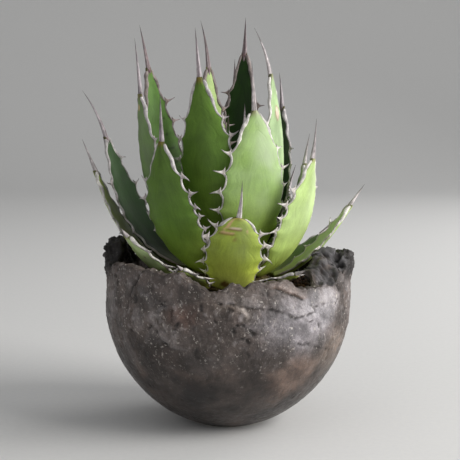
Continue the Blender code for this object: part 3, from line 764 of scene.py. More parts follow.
@dataclass
class Leaf:
    """One leaf: channelled blade, horny margin, teeth and a grooved end spine in one mesh."""

    plan: LeafPlan
    look: Look
    common: Rosette
    seed: int

    def __post_init__(self) -> None:
        """Work out the growing line and the teeth."""
        self.out = ring_at(self.plan.azimuth)
        self.side = ring_at(self.plan.azimuth + 90)
        self.left = self.look.left or self.usual_teeth(3)
        self.right = self.look.right or self.usual_teeth(7)
        self.fine = np.linspace(0, 1, self.common.fine_steps + 1)
        self.ways = self.way(self.fine)
        steps = (self.ways[1:] + self.ways[:-1]) / 2 * self.plan.blade / self.common.fine_steps
        start = self.out * self.plan.foot_radius + np.array([0, 0, self.foot_height()])
        self.course = start + np.concatenate([np.zeros((1, 3)), np.cumsum(steps, 0)])

    def usual_teeth(self, salt: int) -> tuple[Tooth, ...]:
        """Teeth at the usual pitch, with the small differences that a plant has."""
        made = []
        along = 0.2 * self.plan.blade
        while along < 0.8 * self.plan.blade:
            chance = lattice(np.array([[len(made), salt, self.seed]]), 11)[0]
            other = lattice(np.array([[len(made), salt, self.seed]]), 29)[0]
            share = along / self.plan.blade
            size = (3.0 + 2.0 * math.sin(math.pi * min(1, share * 1.15))) * (1 + 0.16 * chance)
            made.append(Tooth(share, size, 10 + 20 * other))
            along += self.common.tooth_pitch * (1 + 0.16 * other)
        return tuple(made)

    def foot_height(self) -> float:
        """Height of the foot, clear of the stem's flank."""
        c, p = self.common, self.plan
        slope = c.stem_height / (c.stem_foot - c.stem_top)
        under = p.width * c.plumpness * c.edge_out * math.sin(math.radians(p.lean_at_stem))
        return c.soil_top + c.gap + c.clearance + max(0.0, c.stem_foot - p.foot_radius) * slope + under

    def way(self, share: Array) -> Array:
        """The direction that the blade grows in at each share of its length."""
        p = self.plan
        bend = (p.lean_at_stem - p.lean_at_tip) * (1 - share) ** self.common.straightening
        lean = np.radians(p.lean_at_tip + bend)[:, None]
        sway = np.radians(p.sway * share)[:, None]
        upward = UP * np.cos(sway) + self.side * np.sin(sway)
        return self.out * np.sin(lean) + upward * np.cos(lean)

    def thickness(self, share: Array) -> Array:
        """Thickness along the middle of the blade."""
        plump = self.plan.width * self.common.plumpness
        return plump + (self.common.spine_radius * 2 - plump) * share**1.6

    def half_width(self, share: Array) -> Array:
        """Half of the blade's width, before the scallops."""
        c, full = self.common, self.plan.width / 2
        foot = min(full * self.plan.foot_share, self.plan.foot_radius * c.largest_foot)
        low = foot + (full - foot) * step(0, c.widest, share)
        k = np.clip((share - c.widest) / (1 - c.widest), 0, 1)
        tip = c.spine_radius * 1.25
        high = tip + (full - tip) * (1 - k * k) ** self.plan.taper
        return np.where(share < c.widest, low, high)

    def scallop(self, share: Array, teeth: tuple[Tooth, ...]) -> Array:
        """How far the edge stands out at a tooth and draws in between two."""
        stops = np.array([0.04, *(tooth.share for tooth in teeth), 0.93])
        found = np.clip(np.searchsorted(stops, share) - 1, 0, len(stops) - 2)
        k = np.clip((share - stops[found]) / (stops[found + 1] - stops[found]), 0, 1) ** 0.85
        arc = (1 - 4 * k * (1 - k)) ** 1.4
        fade = step(0.02, 0.22, share) * (1 - step(0.8, 0.95, share))
        return (arc * 2.1 - 0.8) * fade * min(1.0, self.plan.width / 26)

    def read(self, line: Array, share: Array) -> Array:
        """Values of one of the leaf's fine lines at shares of its length."""
        return np.stack([np.interp(share, self.fine, line[:, i]) for i in range(3)], -1)

    def place(self, share: Array, across: Array, lift: Array) -> tuple[Array, Array, Array]:
        """Points on or off the blade.

        Args:
            share: Share of the length.
            across: -1 at the left edge to 1 at the right edge.
            lift: How far outside the channel line, in millimetres.

        Returns:
            The points, the outward normals and the directions towards the right edge.
        """
        share, across = np.asarray(share, float), np.asarray(across, float)
        point = self.read(self.course, share)
        way = unit(self.read(self.ways, share))
        side = unit(self.side - way * (way @ self.side)[..., None])
        out = np.cross(side, way)
        base = self.half_width(share)
        left, right = self.scallop(share, self.left), self.scallop(share, self.right)
        half = base + np.where(across < 0, left, right)
        reach = np.hypot(point[..., 0], point[..., 1])
        curve = np.maximum(reach * (1 + 0.5 * share), base * 0.75)
        turn = (across * half / curve)[..., None]
        curve = curve[..., None]
        normal = out * np.cos(turn) + side * np.sin(turn)
        right = side * np.cos(turn) - out * np.sin(turn)
        spot = point + side * curve * np.sin(turn) - out * curve * (1 - np.cos(turn))
        return spot + normal * np.asarray(lift, float)[..., None], normal, right

    def skin_tone(self, share: Array, across: Array, outside: Array) -> Array:
        """Colour of the blade.

        Args:
            share: Share of the length.
            across: -1 at the left edge to 1 at the right edge.
            outside: 1 on the outer face and 0 on the inner one.

        Returns:
            One colour for each point.
        """
        low, high = (np.array(colour) for colour in self.look.green.value)
        spots = np.stack([across * self.plan.width / 2, share * self.plan.blade, outside * 40], -1)
        flat = spots.reshape(-1, 3)
        drawn = waves(flat * [1, 0.12, 1], 2.2, self.seed, 2).reshape(share.shape)
        cloud = waves(flat * [1, 0.5, 1], 9.0, self.seed + 5, 2).reshape(share.shape)
        base = low + (high - low) * step(0.02, 0.62, share + 0.1 * cloud)[..., None]
        light = 1 + 0.07 * drawn + 0.2 * cloud - 0.08 * np.exp(-((across / 0.3) ** 2))
        light = light * (1 + 0.07 * step(0.6, 1.0, np.abs(across))) * np.where(outside > 0.5, 1.0, 0.94)
        base = base * light[..., None]
        base = tint(base, paint(190, 196, 96), 0.24 * (1 - step(0.0, 0.28, share)))
        base = tint(base, RUST, 0.55 * step(0.955, 0.995, share))
        for scar in self.look.scars:
            along_mm = (share - scar.share) * self.plan.blade / scar.along_mm * 2
            across_mm = (across - scar.across) * self.half_width(share) / scar.across_mm * 2
            ragged = 1 + 0.3 * waves(flat, 1.6, self.seed + 9, 2).reshape(share.shape)
            away = np.hypot(along_mm, across_mm) * ragged
            face = 1 - outside if scar.inner else outside
            inside = (1 - step(0.75, 1.1, away)) * scar.strength * face
            if scar.ring:
                base = tint(base, RUST, (1 - step(1.0, 1.3, away)) * 0.75 * outside)
            base = tint(base, scar.colour, inside)
        return base

    def add_blade(self, shell: Shell) -> None:
        """The green blade."""
        p, c = self.plan, self.common
        count = int(p.blade * c.stations_per_mm) + 8
        share = np.linspace(0, 1, count)
        face = np.sin(np.linspace(-1, 1, c.columns) * math.pi / 2)
        across = np.concatenate([face, face[::-1][1:-1]])
        outside = np.concatenate([np.ones(c.columns), np.zeros(c.columns - 2)])
        share, across = np.meshgrid(share, across, indexing="ij")
        outside = np.broadcast_to(outside, share.shape)
        profile = np.sqrt(np.clip(1 - across**2, 0, 1))
        part = np.where(outside > 0.5, c.edge_out, -(1 - c.edge_out))
        lift = self.thickness(share) * profile * part
        flat = np.stack([across * p.width / 2, share * p.blade, np.zeros(share.shape)], -1)
        ripple = waves(flat.reshape(-1, 3), 11.0, self.seed + 2, 2).reshape(share.shape)
        wavy = c.waviness * self.edge_wave(share) * np.abs(across) ** 4 * step(0.1, 0.3, share)
        lift = lift + 0.22 * ripple * profile + wavy
        points, _, _ = self.place(share, across, lift)
        tones = self.skin_tone(share, across, outside)
        edge = (1 - np.abs(across)) * self.half_width(share)
        # The bloom is laid heavier on the blade's right half, where the light from the right falls on
        # the front leaves: partly a painted sheen.
        bloom_and_sheen = self.look.bloom_and_sheen * step(0.25, 0.7, share) * (0.45 + 0.55 * step(-0.5, 0.5, across))
        notes = np.stack([edge, share * p.blade + self.seed * 3.7, bloom_and_sheen], -1)
        shell.add(points, tones, notes, 0)

    def edge_wave(self, share: Array) -> Array:
        """The wave of the blade's edge, from -1 to 1."""
        return np.sin(share * self.plan.blade / self.common.tooth_pitch * 2 * math.pi + self.seed)

    def edge_lift(self, share: Array) -> Array:
        """How far the wavy edge stands outside the channel line."""
        return self.common.waviness * self.edge_wave(share) * step(0.1, 0.3, share)

    def add_margins(self, shell: Shell) -> None:
        """The horny bead along both edges, thicker towards the spine."""
        margin, _ = (np.array(colour) for colour in self.look.bone.value)
        count = int(self.plan.blade * 1.1) + 6
        share = np.linspace(0.03, 0.985, count)
        turns = np.linspace(0, 2 * math.pi, 8, endpoint=False)
        for across, salt in ((-1.0, 0), (1.0, 50)):
            spot, normal, right = self.place(share, np.full(count, across), self.edge_lift(share))
            away = right * across
            along = share * self.plan.blade
            flat = np.column_stack([along, np.full(count, salt), np.full(count, self.seed)])
            uneven = 1 + 0.28 * waves(flat, 2.4, 3, 2)
            size = (0.55 + 0.45 * step(0.72, 0.95, share)) * uneven * step(0.0, 0.12, share)
            size = size * (1 - 0.5 * step(0.97, 0.99, share))
            ring = spot[:, None] - away[:, None] * 0.12
            ring = ring + away[:, None] * (np.cos(turns) * 1.12)[None, :, None] * size[:, None, None]
            ring = ring + normal[:, None] * np.sin(turns)[None, :, None] * size[:, None, None]
            if across < 0:
                ring = ring[:, ::-1]
            shade = 0.82 + 0.22 * waves(flat, 5.0, 8, 2)
            tones = margin[None] * shade[:, None]
            tones = tint(tones, RUST, 0.5 * (1 - step(0.05, 0.3, share)))
            notes = np.stack(np.broadcast_arrays(turns[None] / 6, along[:, None], 0.0), -1)
            shell.add(ring, np.broadcast_to(tones[:, None], ring.shape), notes, 1)

    def add_tooth(self, shell: Shell, tooth: Tooth, across: float, small: float = 1.0) -> None:
        """One hooked tooth on a broad foot.

        Args:
            shell: What it is added to.
            tooth: Its place and size.
            across: -1 on the left edge and 1 on the right one.
            small: Makes the whole tooth smaller.
        """
        share = np.array([tooth.share])
        spot, normal, right = self.place(share, np.array([across]), self.edge_lift(share))
        way = unit(self.read(self.ways, share))
        spot, normal, away, way = spot[0], normal[0], right[0] * across, way[0]
        length = tooth.length * small * self.common.tooth_stretch
        t = np.array([0, 0.07, 0.16, 0.27, 0.4, 0.55, 0.7, 0.84, 0.94, 1.0])
        broad = np.array([2.5, 1.7, 1.12, 0.76, 0.53, 0.38, 0.28, 0.2, 0.13, 0.03])
        broad = broad * (0.62 + 0.09 * tooth.length) * small
        deep = np.array([0.5, 0.5, 0.47, 0.42, 0.37, 0.31, 0.24, 0.17, 0.1, 0.03])
        deep = deep * (0.7 + 0.07 * tooth.length) * small
        lean = np.radians(tooth.hook * (0.1 + 1.7 * t))
        outward = away * np.cos(lean)[:, None] + way * np.sin(lean)[:, None]
        outward = outward - normal * 0.18 * math.sin(self.seed * 1.7 + tooth.share * 20)
        travel = np.diff(t, prepend=0)[:, None] * length * unit(outward)
        middle = spot - away * 0.45 + np.cumsum(travel, 0)
        along = unit(way - outward * (outward @ way)[:, None] / (outward * outward).sum(1)[:, None])
        turns = np.linspace(0, 2 * math.pi, 10, endpoint=False)
        ring = middle[:, None] + along[:, None] * (np.cos(turns)[None] * broad[:, None])[..., None]
        ring = ring + normal * (np.sin(turns)[None] * deep[:, None])[..., None]
        if across < 0:
            ring = ring[:, ::-1]
        margin, spine = (np.array(colour) for colour in self.look.bone.value)
        tones = margin[None] * (1 - t[:, None]) + spine[None] * t[:, None]
        tones = tint(tones, RUST, 0.34 * np.exp(-(((t - 0.12) / 0.1) ** 2)))
        tones = tint(tones, paint(52, 36, 34), 0.85 * step(0.66, 1.0, t))
        notes = np.stack(np.broadcast_arrays(turns[None] / 6, t[:, None] * length, 0.0), -1)
        shell.add(ring, np.broadcast_to(tones[:, None], ring.shape), notes, 1)

    def add_teeth(self, shell: Shell) -> None:
        """All the teeth, with a few small ones between them."""
        for teeth, across in ((self.left, -1.0), (self.right, 1.0)):
            for tooth in teeth:
                self.add_tooth(shell, tooth, across)
            for first, second in zip(teeth, teeth[1:]):
                chance = lattice(np.array([[int(first.share * 97), self.seed, int(across)]]), 5)[0]
                if chance > 0.1:
                    middle = first.share + (second.share - first.share) * (0.5 + 0.14 * chance)
                    self.add_tooth(shell, Tooth(middle, 2.6, -20 * chance), across, 0.55)

    def add_spine(self, shell: Shell) -> None:
        """The end spine: two ridges with a groove between, running back onto the blade."""
        p, c = self.plan, self.common
        _, bone = (np.array(colour) for colour in self.look.bone.value)
        back = min(0.075, c.spine_overlap / p.blade)
        t = np.concatenate([[-1, -0.8, -0.6, -0.4, -0.2], np.linspace(0, 1, 30)])
        way = self.ways[-1]
        side = unit(self.side - way * (way @ self.side))
        lean, sway = (math.tan(math.radians(angle)) for angle in (p.spine_lean, p.spine_sway))
        end = unit(way + self.out * lean + self.side * sway)
        tip = self.course[-1]
        middle = np.empty((len(t), 3))
        for i, k in enumerate(t):
            if k < 0:
                share = 1 + k * back
                middle[i] = self.read(self.course, share)
            else:
                course = unit(way * (1 - k / 2) + end * k / 2)
                middle[i] = tip + course * p.spine * k
        narrowing = c.spine_foot * (1 - np.clip(t, 0, 1)) ** 1.15
        radius = np.where(t < 0, 0.7 + 0.66 * (1 + t), narrowing + 0.05)
        flat = np.column_stack([t * p.spine, np.zeros(len(t)), np.full(len(t), self.seed)])
        radius = radius * (1 + 0.06 * waves(flat, 3.0, 4, 2))
        turns = np.linspace(0, 2 * math.pi, 20, endpoint=False)
        over = np.cross(side, way)
        facing = np.sin(turns)
        inner = np.clip(-facing, 0, 1) ** 10
        outer = np.clip(facing, 0, 1) ** 14
        depth = 1 - 0.42 * inner - 0.24 * outer
        fade = step(-0.2, 0.12, t) * (1 - 0.4 * step(0.7, 1.0, t))
        size = radius[:, None] * (1 - (1 - depth)[None] * fade[:, None])
        ring = middle[:, None] + side * (np.cos(turns) * size)[..., None] * 1.05
        ring = ring + over * (facing * size)[..., None] * 0.92
        tones = np.broadcast_to(bone, ring.shape).copy()
        shade = 0.86 + 0.25 * waves(flat, 6.0, 6, 2)
        tones *= shade[:, None, None]
        groove = (0.75 * inner + 0.5 * outer)[None] * step(-0.3, 0.1, t)[:, None]
        tones = tint(tones, paint(70, 48, 50), groove)
        around = np.ones(len(turns))
        tones = tint(tones, WINE, 0.8 * np.exp(-(((t + 0.3) / 0.14) ** 2))[:, None] * around)
        tones = tint(tones, paint(52, 40, 44), 0.85 * step(0.45, 1.0, t)[:, None] * around)
        notes = np.stack(np.broadcast_arrays(turns[None] / 3, t[:, None] * p.spine, 0.0), -1)
        shell.add(ring, tones, notes, 1)

    def build(self, skin: bpy.types.Material, horn: bpy.types.Material) -> bpy.types.Object:
        """Make the leaf.

        Args:
            skin: Finish of the blade.
            horn: Finish of the margin, the teeth and the spine.

        Returns:
            The leaf, as one object that stands for its CAD node.
        """
        shell = Shell()
        self.add_blade(shell)
        self.add_margins(shell)
        self.add_teeth(shell)
        self.add_spine(shell)
        made = shell.build(f"{self.plan.name}_dressed", [skin, horn])
        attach(made, BODY)
        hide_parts(self.plan.name)
        return made


@dataclass(frozen=True)
class Bud:
    """The rolled young leaf in the middle, with one free edge winding round it."""

    columns: int = 40
    rings: int = 60

    def build(self, skin: bpy.types.Material, horn: bpy.types.Material) -> bpy.types.Object:
        """Make the bud.

        Args:
            skin: Finish of the rolled blade.
            horn: Its second finish, which none of its faces take.

        Returns:
            The bud, as one object that stands for its CAD node.
        """
        low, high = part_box("leaf_bud")
        base, height = low[2] / MM, (high[2] - low[2]) / MM
        t = np.linspace(0, 1, self.rings)
        turns = np.linspace(0, 360, self.columns, endpoint=False)
        radius = np.interp(t, [0, 0.12, 0.35, 0.6, 0.8, 0.92, 1], [1.6, 2.2, 2.6, 2.1, 1.25, 0.7, 0.06])
        seam = (turns[None] - 200 - 150 * t[:, None]) % 360 / 360
        size = radius[:, None] * (0.9 + 0.2 * seam**3)
        ring = ring_at(turns)[None] * size[..., None] + UP * (base + height * t)[:, None, None]
        tones = np.broadcast_to(np.array(Green.FRESH.value[1]), ring.shape).copy()
        tones = tint(tones, Bone.LILAC.value[0], 0.9 * step(0.93, 1.0, seam))
        tones = tint(tones, paint(70, 50, 46), step(0.84, 0.96, t)[:, None] * np.ones(self.columns))
        notes = np.stack(np.broadcast_arrays(seam * 12, t[:, None] * height, 0.1), -1)
        shell = Shell()
        shell.add(ring, tones, notes, 0)
        made = shell.build("leaf_bud_dressed", [skin, horn])
        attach(made, BODY)
        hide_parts("leaf_bud")
        return made


# ---- bowl ----


@dataclass(frozen=True)
class RimChange:
    """One stretch of the torn rim that stands over or under the rest, in degrees and millimetres."""

    azimuth: float
    half_angle: float
    rise: float
    swell: float = 0.0
    inward: float = 0.0
    hump: float = 0.0


@dataclass(frozen=True)
class Patch:
    """A soft patch of colour on the bowl, a real stain for some entries and painted light for others:
    azimuth and half angle in degrees, height and reach in millimetres.
    """

    azimuth: float
    half_angle: float
    height: float
    reach: float
    colour: Colour
    strength: float


@dataclass(frozen=True)
class Seam:
    """A line in the bowl's wall: a crack, a ridge or the step of an overlapping layer of clay.

    The course is azimuths in degrees and heights in millimetres. The other lengths are in
    millimetres. A negative depth is a ridge. The lip is how far the wall above stands out.
    """

    course: tuple[tuple[float, float], ...]
    width: float
    depth: float
    lip: float = 0.0
    reach: float = 6.0
    colour: Colour | None = None
    strength: float = 0.0


DARK_CLAY = paint(45, 39, 36)
WARM_CLAY = paint(84, 75, 71)
LIGHT_CLAY = paint(150, 144, 144)
PALE_CLAY = paint(176, 164, 156)
BROWN_CLAY = paint(124, 94, 74)

RIM_CHANGES = (
    RimChange(167, 16, 11, 3.0),
    RimChange(189, 7, 2, 1.0),
    RimChange(225, 30, 4.5),
    RimChange(263, 9, -4),
    RimChange(277, 6, -2.5),
    RimChange(316, 18, -4.5),
    RimChange(331, 17, 0, inward=9.5, hump=6.0),
    RimChange(352, 13, 6.5, 2.0),
    RimChange(26, 18, 2.5, 1.0),
    RimChange(78, 24, -2),
    RimChange(122, 18, 1.5),
)

STAIN_AND_LIGHT_PATCHES = (
    Patch(252, 11, 27, 11, paint(26, 23, 23), 0.85),
    Patch(238, 20, 46, 12, paint(44, 37, 34), 0.6),
    # Painted sheen: two pale grey-lilac patches high on the right, where the light falls.
    Patch(304, 24, 62, 17, paint(160, 156, 162), 0.5),
    Patch(318, 12, 70, 12, paint(176, 172, 176), 0.4),
    Patch(303, 16, 33, 14, paint(126, 104, 92), 0.45),
    Patch(330, 14, 44, 16, paint(134, 118, 106), 0.4),
    Patch(270, 14, 76, 8, paint(96, 84, 74), 0.5),
    Patch(249, 9, 67, 7, paint(98, 72, 62), 0.5),
    Patch(30, 26, 40, 20, paint(30, 27, 27), 0.6),
    Patch(96, 22, 62, 16, paint(128, 116, 108), 0.4),
    Patch(140, 18, 34, 14, paint(98, 74, 60), 0.5),
    # Painted shade: a dark patch on the left flank, away from the light.
    Patch(186, 16, 58, 16, paint(36, 32, 31), 0.6),
)

SEAMS = (
    Seam(
        ((270, 74), (278, 72), (289, 70.5), (297, 67.5), (300, 65), (309, 66.5), (317, 70)),
        0.7,
        0.45,
        0.9,
        5,
    ),
    Seam(((228, 88), (225, 82), (222, 78), (220, 72.5), (219, 66)), 0.7, 1.3),
    Seam(((275, 73), (276.5, 70), (278.5, 67), (279, 63)), 1.0, -0.55, colour=PALE_CLAY, strength=0.75),
    Seam(((283, 61), (285, 57), (287, 54)), 0.8, -0.45, colour=PALE_CLAY, strength=0.4),
    Seam(((274.5, 61), (275.5, 59)), 0.9, 1.2),
    Seam(((279.5, 60.5), (281, 58.5)), 0.9, 1.2),
    Seam(((278, 56), (279, 54.5)), 0.8, 1.1),
    Seam(((303, 51.5), (312, 49), (320, 47), (327, 44)), 0.5, 0.5),
    Seam(((291, 80.5), (296, 78), (300, 76.5), (304, 74)), 0.7, 0.5, 1.2, 2.4, BROWN_CLAY, 0.45),
    Seam(((336, 78), (342, 72), (345, 66), (343, 60)), 0.6, 0.9, 0.5, 5),
    Seam(((240, 70), (236, 62), (240, 54), (246, 50)), 0.5, 0.5, 0.4, 4),
    Seam(((58, 66), (72, 70), (86, 69), (100, 65), (112, 69)), 0.8, 0.8, 1.1, 7),
    Seam(((150, 88), (148, 80), (151, 73), (147, 66)), 0.7, 1.1),
    Seam(((14, 74), (20, 66), (17, 58)), 0.6, 0.9),
    Seam(((176, 60), (190, 57), (204, 60)), 0.6, 0.6, 0.6, 5),
    Seam(((124, 44), (132, 41), (140, 43)), 0.6, 0.5, 0.5, 5),
    Seam(((40, 50), (48, 46), (52, 40)), 0.6, 0.6, 0.4, 5),
)


@dataclass(frozen=True)
class Bowl:
    """The hand-built bowl: flat foot, round wall, torn lumpy rim, three drain holes."""

    diameter: float = 130.0
    height: float = 83.0
    wall: float = 5.5
    foot: float = 37.0
    floor: float = 6.5
    rim_lean: float = 1.2
    draw_in: float = 1.0
    tear_angle: float = 7.0
    drain_hole: float = 4.6
    drain_circle: float = 12.0
    drain_holes: int = 3
    drilling: float = 5.0
    lining_foot: float = 70.0
    columns: int = 620

    def centre(self) -> float:
        """Height of the widest line."""
        return math.sqrt((self.diameter / 2) ** 2 - (self.foot / 2) ** 2)

    def share(self, azimuth: Array, change: RimChange) -> Array:
        """How strongly one change of the rim acts."""
        away = np.abs(turn_from(azimuth, change.azimuth))
        return step(0, 1, (change.half_angle - away) / self.tear_angle)

    def top(self, azimuth: Array) -> Array:
        """Height of the torn rim, with its chips."""
        smooth = self.height + sum(self.share(azimuth, c) * c.rise for c in RIM_CHANGES)
        circle = ring_at(azimuth) * self.diameter / 2
        torn = waves(circle, 5.0, 21, 2)
        torn = np.sign(torn) * np.abs(torn) ** 0.7
        return smooth + 1.25 * torn + 0.6 * waves(circle, 1.6, 22, 2)

    def swell(self, azimuth: Array) -> Array:
        """How much thicker than the wall the rim is."""
        return sum(self.share(azimuth, c) * c.swell for c in RIM_CHANGES)

    def lumps(self, azimuth: Array) -> Array:
        """Where the rim is burnt into black lumps, from 0 to 1."""
        left = step(0, 8, 28 - np.abs(azimuth - 175))
        right = step(0, 7, 17 - np.abs(turn_from(azimuth, 352)))
        back = 0.8 * step(0, 7, 16 - np.abs(azimuth - 26))
        return np.maximum(np.maximum(left, right), back)

    def inner_lump(self, azimuth: Array) -> Array:
        """Where a lump of clay sticks to the inside of the wall, from 0 to 1."""
        return np.minimum(1, sum(self.share(azimuth, c) * c.inward for c in RIM_CHANGES) / 8)

    def rings(self) -> tuple[Array, Array]:
        """The bowl before its surface is roughened.

        Returns:
            The points, and for each ring whether it is outside, on the rim or inside.
        """
        azimuth = np.linspace(0, 360, self.columns, endpoint=False)
        way = ring_at(azimuth)
        radius, centre = self.diameter / 2, self.centre()
        foot_angle = math.asin(self.foot / self.diameter)
        rings, kinds = [], []
        for k in np.linspace(0.02, 1, 14):
            rings.append(way * self.foot / 2 * k)
            kinds.append(0.0)
        for k in np.linspace(0, 1, 122)[1:]:
            angle = foot_angle + (math.pi / 2 - foot_angle) * k
            r = radius * math.sin(angle) - self.draw_in * math.sin(2 * angle)
            rings.append(way * r + UP * (centre - radius * math.cos(angle)))
            kinds.append(1.0)
        top, swell = self.top(azimuth), self.swell(azimuth)
        for k in np.linspace(0, 1, 40)[1:]:
            r = radius - self.rim_lean * k + swell * 0.6 * k
            rings.append(way * r[:, None] + UP * (centre + (top - centre) * k)[:, None])
            kinds.append(1.0)
        outer = radius - self.rim_lean + swell * 0.6
        lump = sum(self.share(azimuth, c) * c.inward for c in RIM_CHANGES)
        hump = sum(self.share(azimuth, c) * c.hump for c in RIM_CHANGES)
        wall = self.wall + swell + lump
        for k in np.linspace(0, 1, 19)[1:-1]:
            bulge = 0.7 * math.sin(math.pi * k) + hump * step(0.25, 0.7, k)
            rings.append(way * (outer - wall * k)[:, None] + UP * (top + bulge)[:, None])
            kinds.append(2.0)
        for k in np.linspace(0, 1, 30):
            z = top + hump + (self.lining_foot - top - hump) * k
            bulge = lump * 0.12 * math.sin(math.pi * k)
            r = outer - wall + (radius - self.wall - outer + wall) * k + bulge
            rings.append(way * r[:, None] + UP * z[:, None])
            kinds.append(3.0)
        for z in (62, 50, 38, 26, 16, 10, self.floor):
            r = math.sqrt((radius - self.wall) ** 2 - max(0.0, centre - z) ** 2)
            rings.append(way * r + UP * z)
            kinds.append(4.0)
        rings.append(way + UP * self.floor)
        kinds.append(4.0)
        return np.array([np.broadcast_to(ring, (self.columns, 3)) for ring in rings]), np.array(kinds)

    def near(self, seam: Seam, azimuth: Array, height: Array) -> tuple[Array, Array]:
        """Distance to a seam and how far over it each point is, in millimetres."""
        scale = self.diameter / 2 * math.pi / 180
        nearest = np.full(azimuth.shape, 1e9)
        over = np.zeros(azimuth.shape)
        for (a0, z0), (a1, z1) in zip(seam.course, seam.course[1:]):
            dx = turn_from(azimuth, a0) * scale
            dz = height - z0
            ex, ez = (a1 - a0) * scale, z1 - z0
            k = np.clip((dx * ex + dz * ez) / (ex * ex + ez * ez), 0, 1)
            away = np.hypot(dx - ex * k, dz - ez * k)
            closer = away < nearest
            nearest = np.where(closer, away, nearest)
            over = np.where(closer, dz - ez * k, over)
        return nearest, over

    def shape(self, points: Array, kinds: Array) -> tuple[Array, Array, Array]:
        """Roughen the surface and colour it.

        Args:
            points: The smooth rings.
            kinds: What each ring belongs to.

        Returns:
            How far each point moves out, its colour and its grit, gloss and dust.
        """
        flat = points.reshape(-1, 3)
        azimuth = np.degrees(np.arctan2(flat[:, 1], flat[:, 0])) % 360
        height = flat[:, 2]
        kind = np.repeat(kinds, points.shape[1])
        outside = (kind == 1).astype(float)
        shown = ((kind >= 1) & (kind <= 3)).astype(float)
        upper = step(26, 66, height + 5 * waves(flat, 18, 31, 2))
        lumps = self.lumps(azimuth) * step(76, 84, height)
        inner = self.inner_lump(azimuth) * ((kind == 2) | (kind == 3)) * step(73, 77, height)
        seen_low = step(3.0, 9.0, height)
        warp = flat + 2.2 * np.stack([waves(flat, 6, 41), waves(flat, 6, 42), waves(flat, 6, 43)], -1)
        big = waves(flat, 22, 32, 2)
        middle = waves(warp, 7.0, 33, 3)
        small = waves(flat, 2.4, 34, 2)
        grit = waves(flat, 1.25, 35, 1)
        ridged = 1 - np.abs(waves(warp, 5.0, 36, 3)) * 2
        move = 0.25 * big - 0.25 + (0.16 + 0.34 * upper) * middle
        move += (0.03 + 0.2 * upper) * small + (0.01 + 0.14 * upper) * grit
        pits = step(0.62, 0.86, waves(warp, 3.4, 37, 2)) * (0.25 + 0.75 * upper)
        move -= 0.75 * pits
        crust = step(0.25, 0.6, waves(warp, 13.0, 38, 2)) * upper
        move += 0.5 * crust
        move += lumps * (1.5 * ridged + 0.9 * small) + inner * (1.3 * ridged + 0.5 * small)
        move = move * shown * np.where(kind == 1, seen_low * 0.9 + 0.1, 1.0)
        dark, warm, light = (np.array(c) for c in (DARK_CLAY, WARM_CLAY, LIGHT_CLAY))
        shade = 0.5 + 0.5 * waves(warp, 11.0, 51, 3)
        # Lighter towards the top: partly the paler dusted clay of the upper wall, partly painted light
        # from above, with the lower wall darkened as painted shade.
        tone = dark + (warm - dark) * np.clip(0.3 + 0.75 * upper + 0.55 * (shade - 0.5), 0, 1)[:, None]
        tone = tint(tone, light, 0.26 * crust + 0.36 * step(0.3, 0.8, small) * upper)
        tone = tint(tone, paint(100, 80, 68), 0.25 * step(0.62, 0.95, shade) * (1 - upper))
        # Soft patches: real stains, with painted sheen high on the right and painted shade on the left
        # flank.
        for patch in STAIN_AND_LIGHT_PATCHES:
            turn = turn_from(azimuth, patch.azimuth) / patch.half_angle
            away = np.hypot(turn, (height - patch.height) / patch.reach) + 0.3 * middle
            tone = tint(tone, patch.colour, patch.strength * (1 - step(0.3, 1.25, away)) * outside)
        # Painted shade: the sunken pits are darkened as well.
        tone = tint(tone, dark * 0.55, 0.75 * pits)
        for seam in SEAMS:
            away, over = self.near(seam, azimuth, height)
            ragged = away * (1 + 0.5 * small) + 0.3 * grit
            worn = step(-0.45, 0.15, waves(flat, 4.0, 61, 2))
            cut = np.exp(-((ragged / seam.width) ** 2)) * outside * worn
            move -= seam.depth * cut
            above = step(-0.35, 0.5, over + 0.5 * small) * np.exp(-away / seam.reach)
            above = above * outside * (0.4 + 0.6 * worn)
            move += seam.lip * above
            # Painted shadow in the seam's groove, and a painted highlight on the wall that stands out
            # above its lip.
            tone = tint(tone, dark * 0.4, 0.8 * cut * (seam.depth > 0))
            tone = tint(tone, light, 0.45 * above * (seam.lip > 0))
            if seam.colour:
                over_lip = np.exp(-away / 2.2) * (over > 0) * (seam.lip > 1)
                mark = np.maximum(cut * (seam.depth < 0), over_lip)
                tone = tint(tone, seam.colour, seam.strength * mark * outside)
        broken = ((kind == 2) | ((kind == 1) & (height > self.top(azimuth) - 1.4))).astype(float)
        tone = tint(tone, paint(70, 62, 58), 0.35 * broken)
        tone = tint(tone, paint(33, 31, 32), 0.85 * lumps)
        # Painted shade: the inner wall above the soil is darkened.
        tone = tint(tone, paint(62, 57, 55), 0.5 * (kind == 3) * (1 - lumps))
        tone = tint(tone, paint(84, 82, 84), 0.8 * inner * step(0.0, 0.6, ridged))
        # Painted rim of light: a pale line along the foot's edge, in its lowest 0.9 mm.
        tone = tint(tone, paint(188, 182, 172), 0.8 * outside * (1 - step(0.5, 0.9, height)))
        gloss = (1 - 0.45 * upper) * outside
        dust = upper * outside * (0.3 + 0.5 * step(0.4, 0.7, shade)) * (1 - lumps)
        rough = np.clip(0.1 + 0.9 * upper, 0, 1) * (1 - 0.85 * np.maximum(lumps, inner))
        return move, tone, np.stack([rough, gloss, dust], -1)

    def normals(self, rings: Array) -> Array:
        """Directions out of the surface at each point of the rings."""
        around = np.roll(rings, -1, 1) - np.roll(rings, 1, 1)
        along = np.gradient(rings, axis=0)
        return unit(np.cross(around, along))

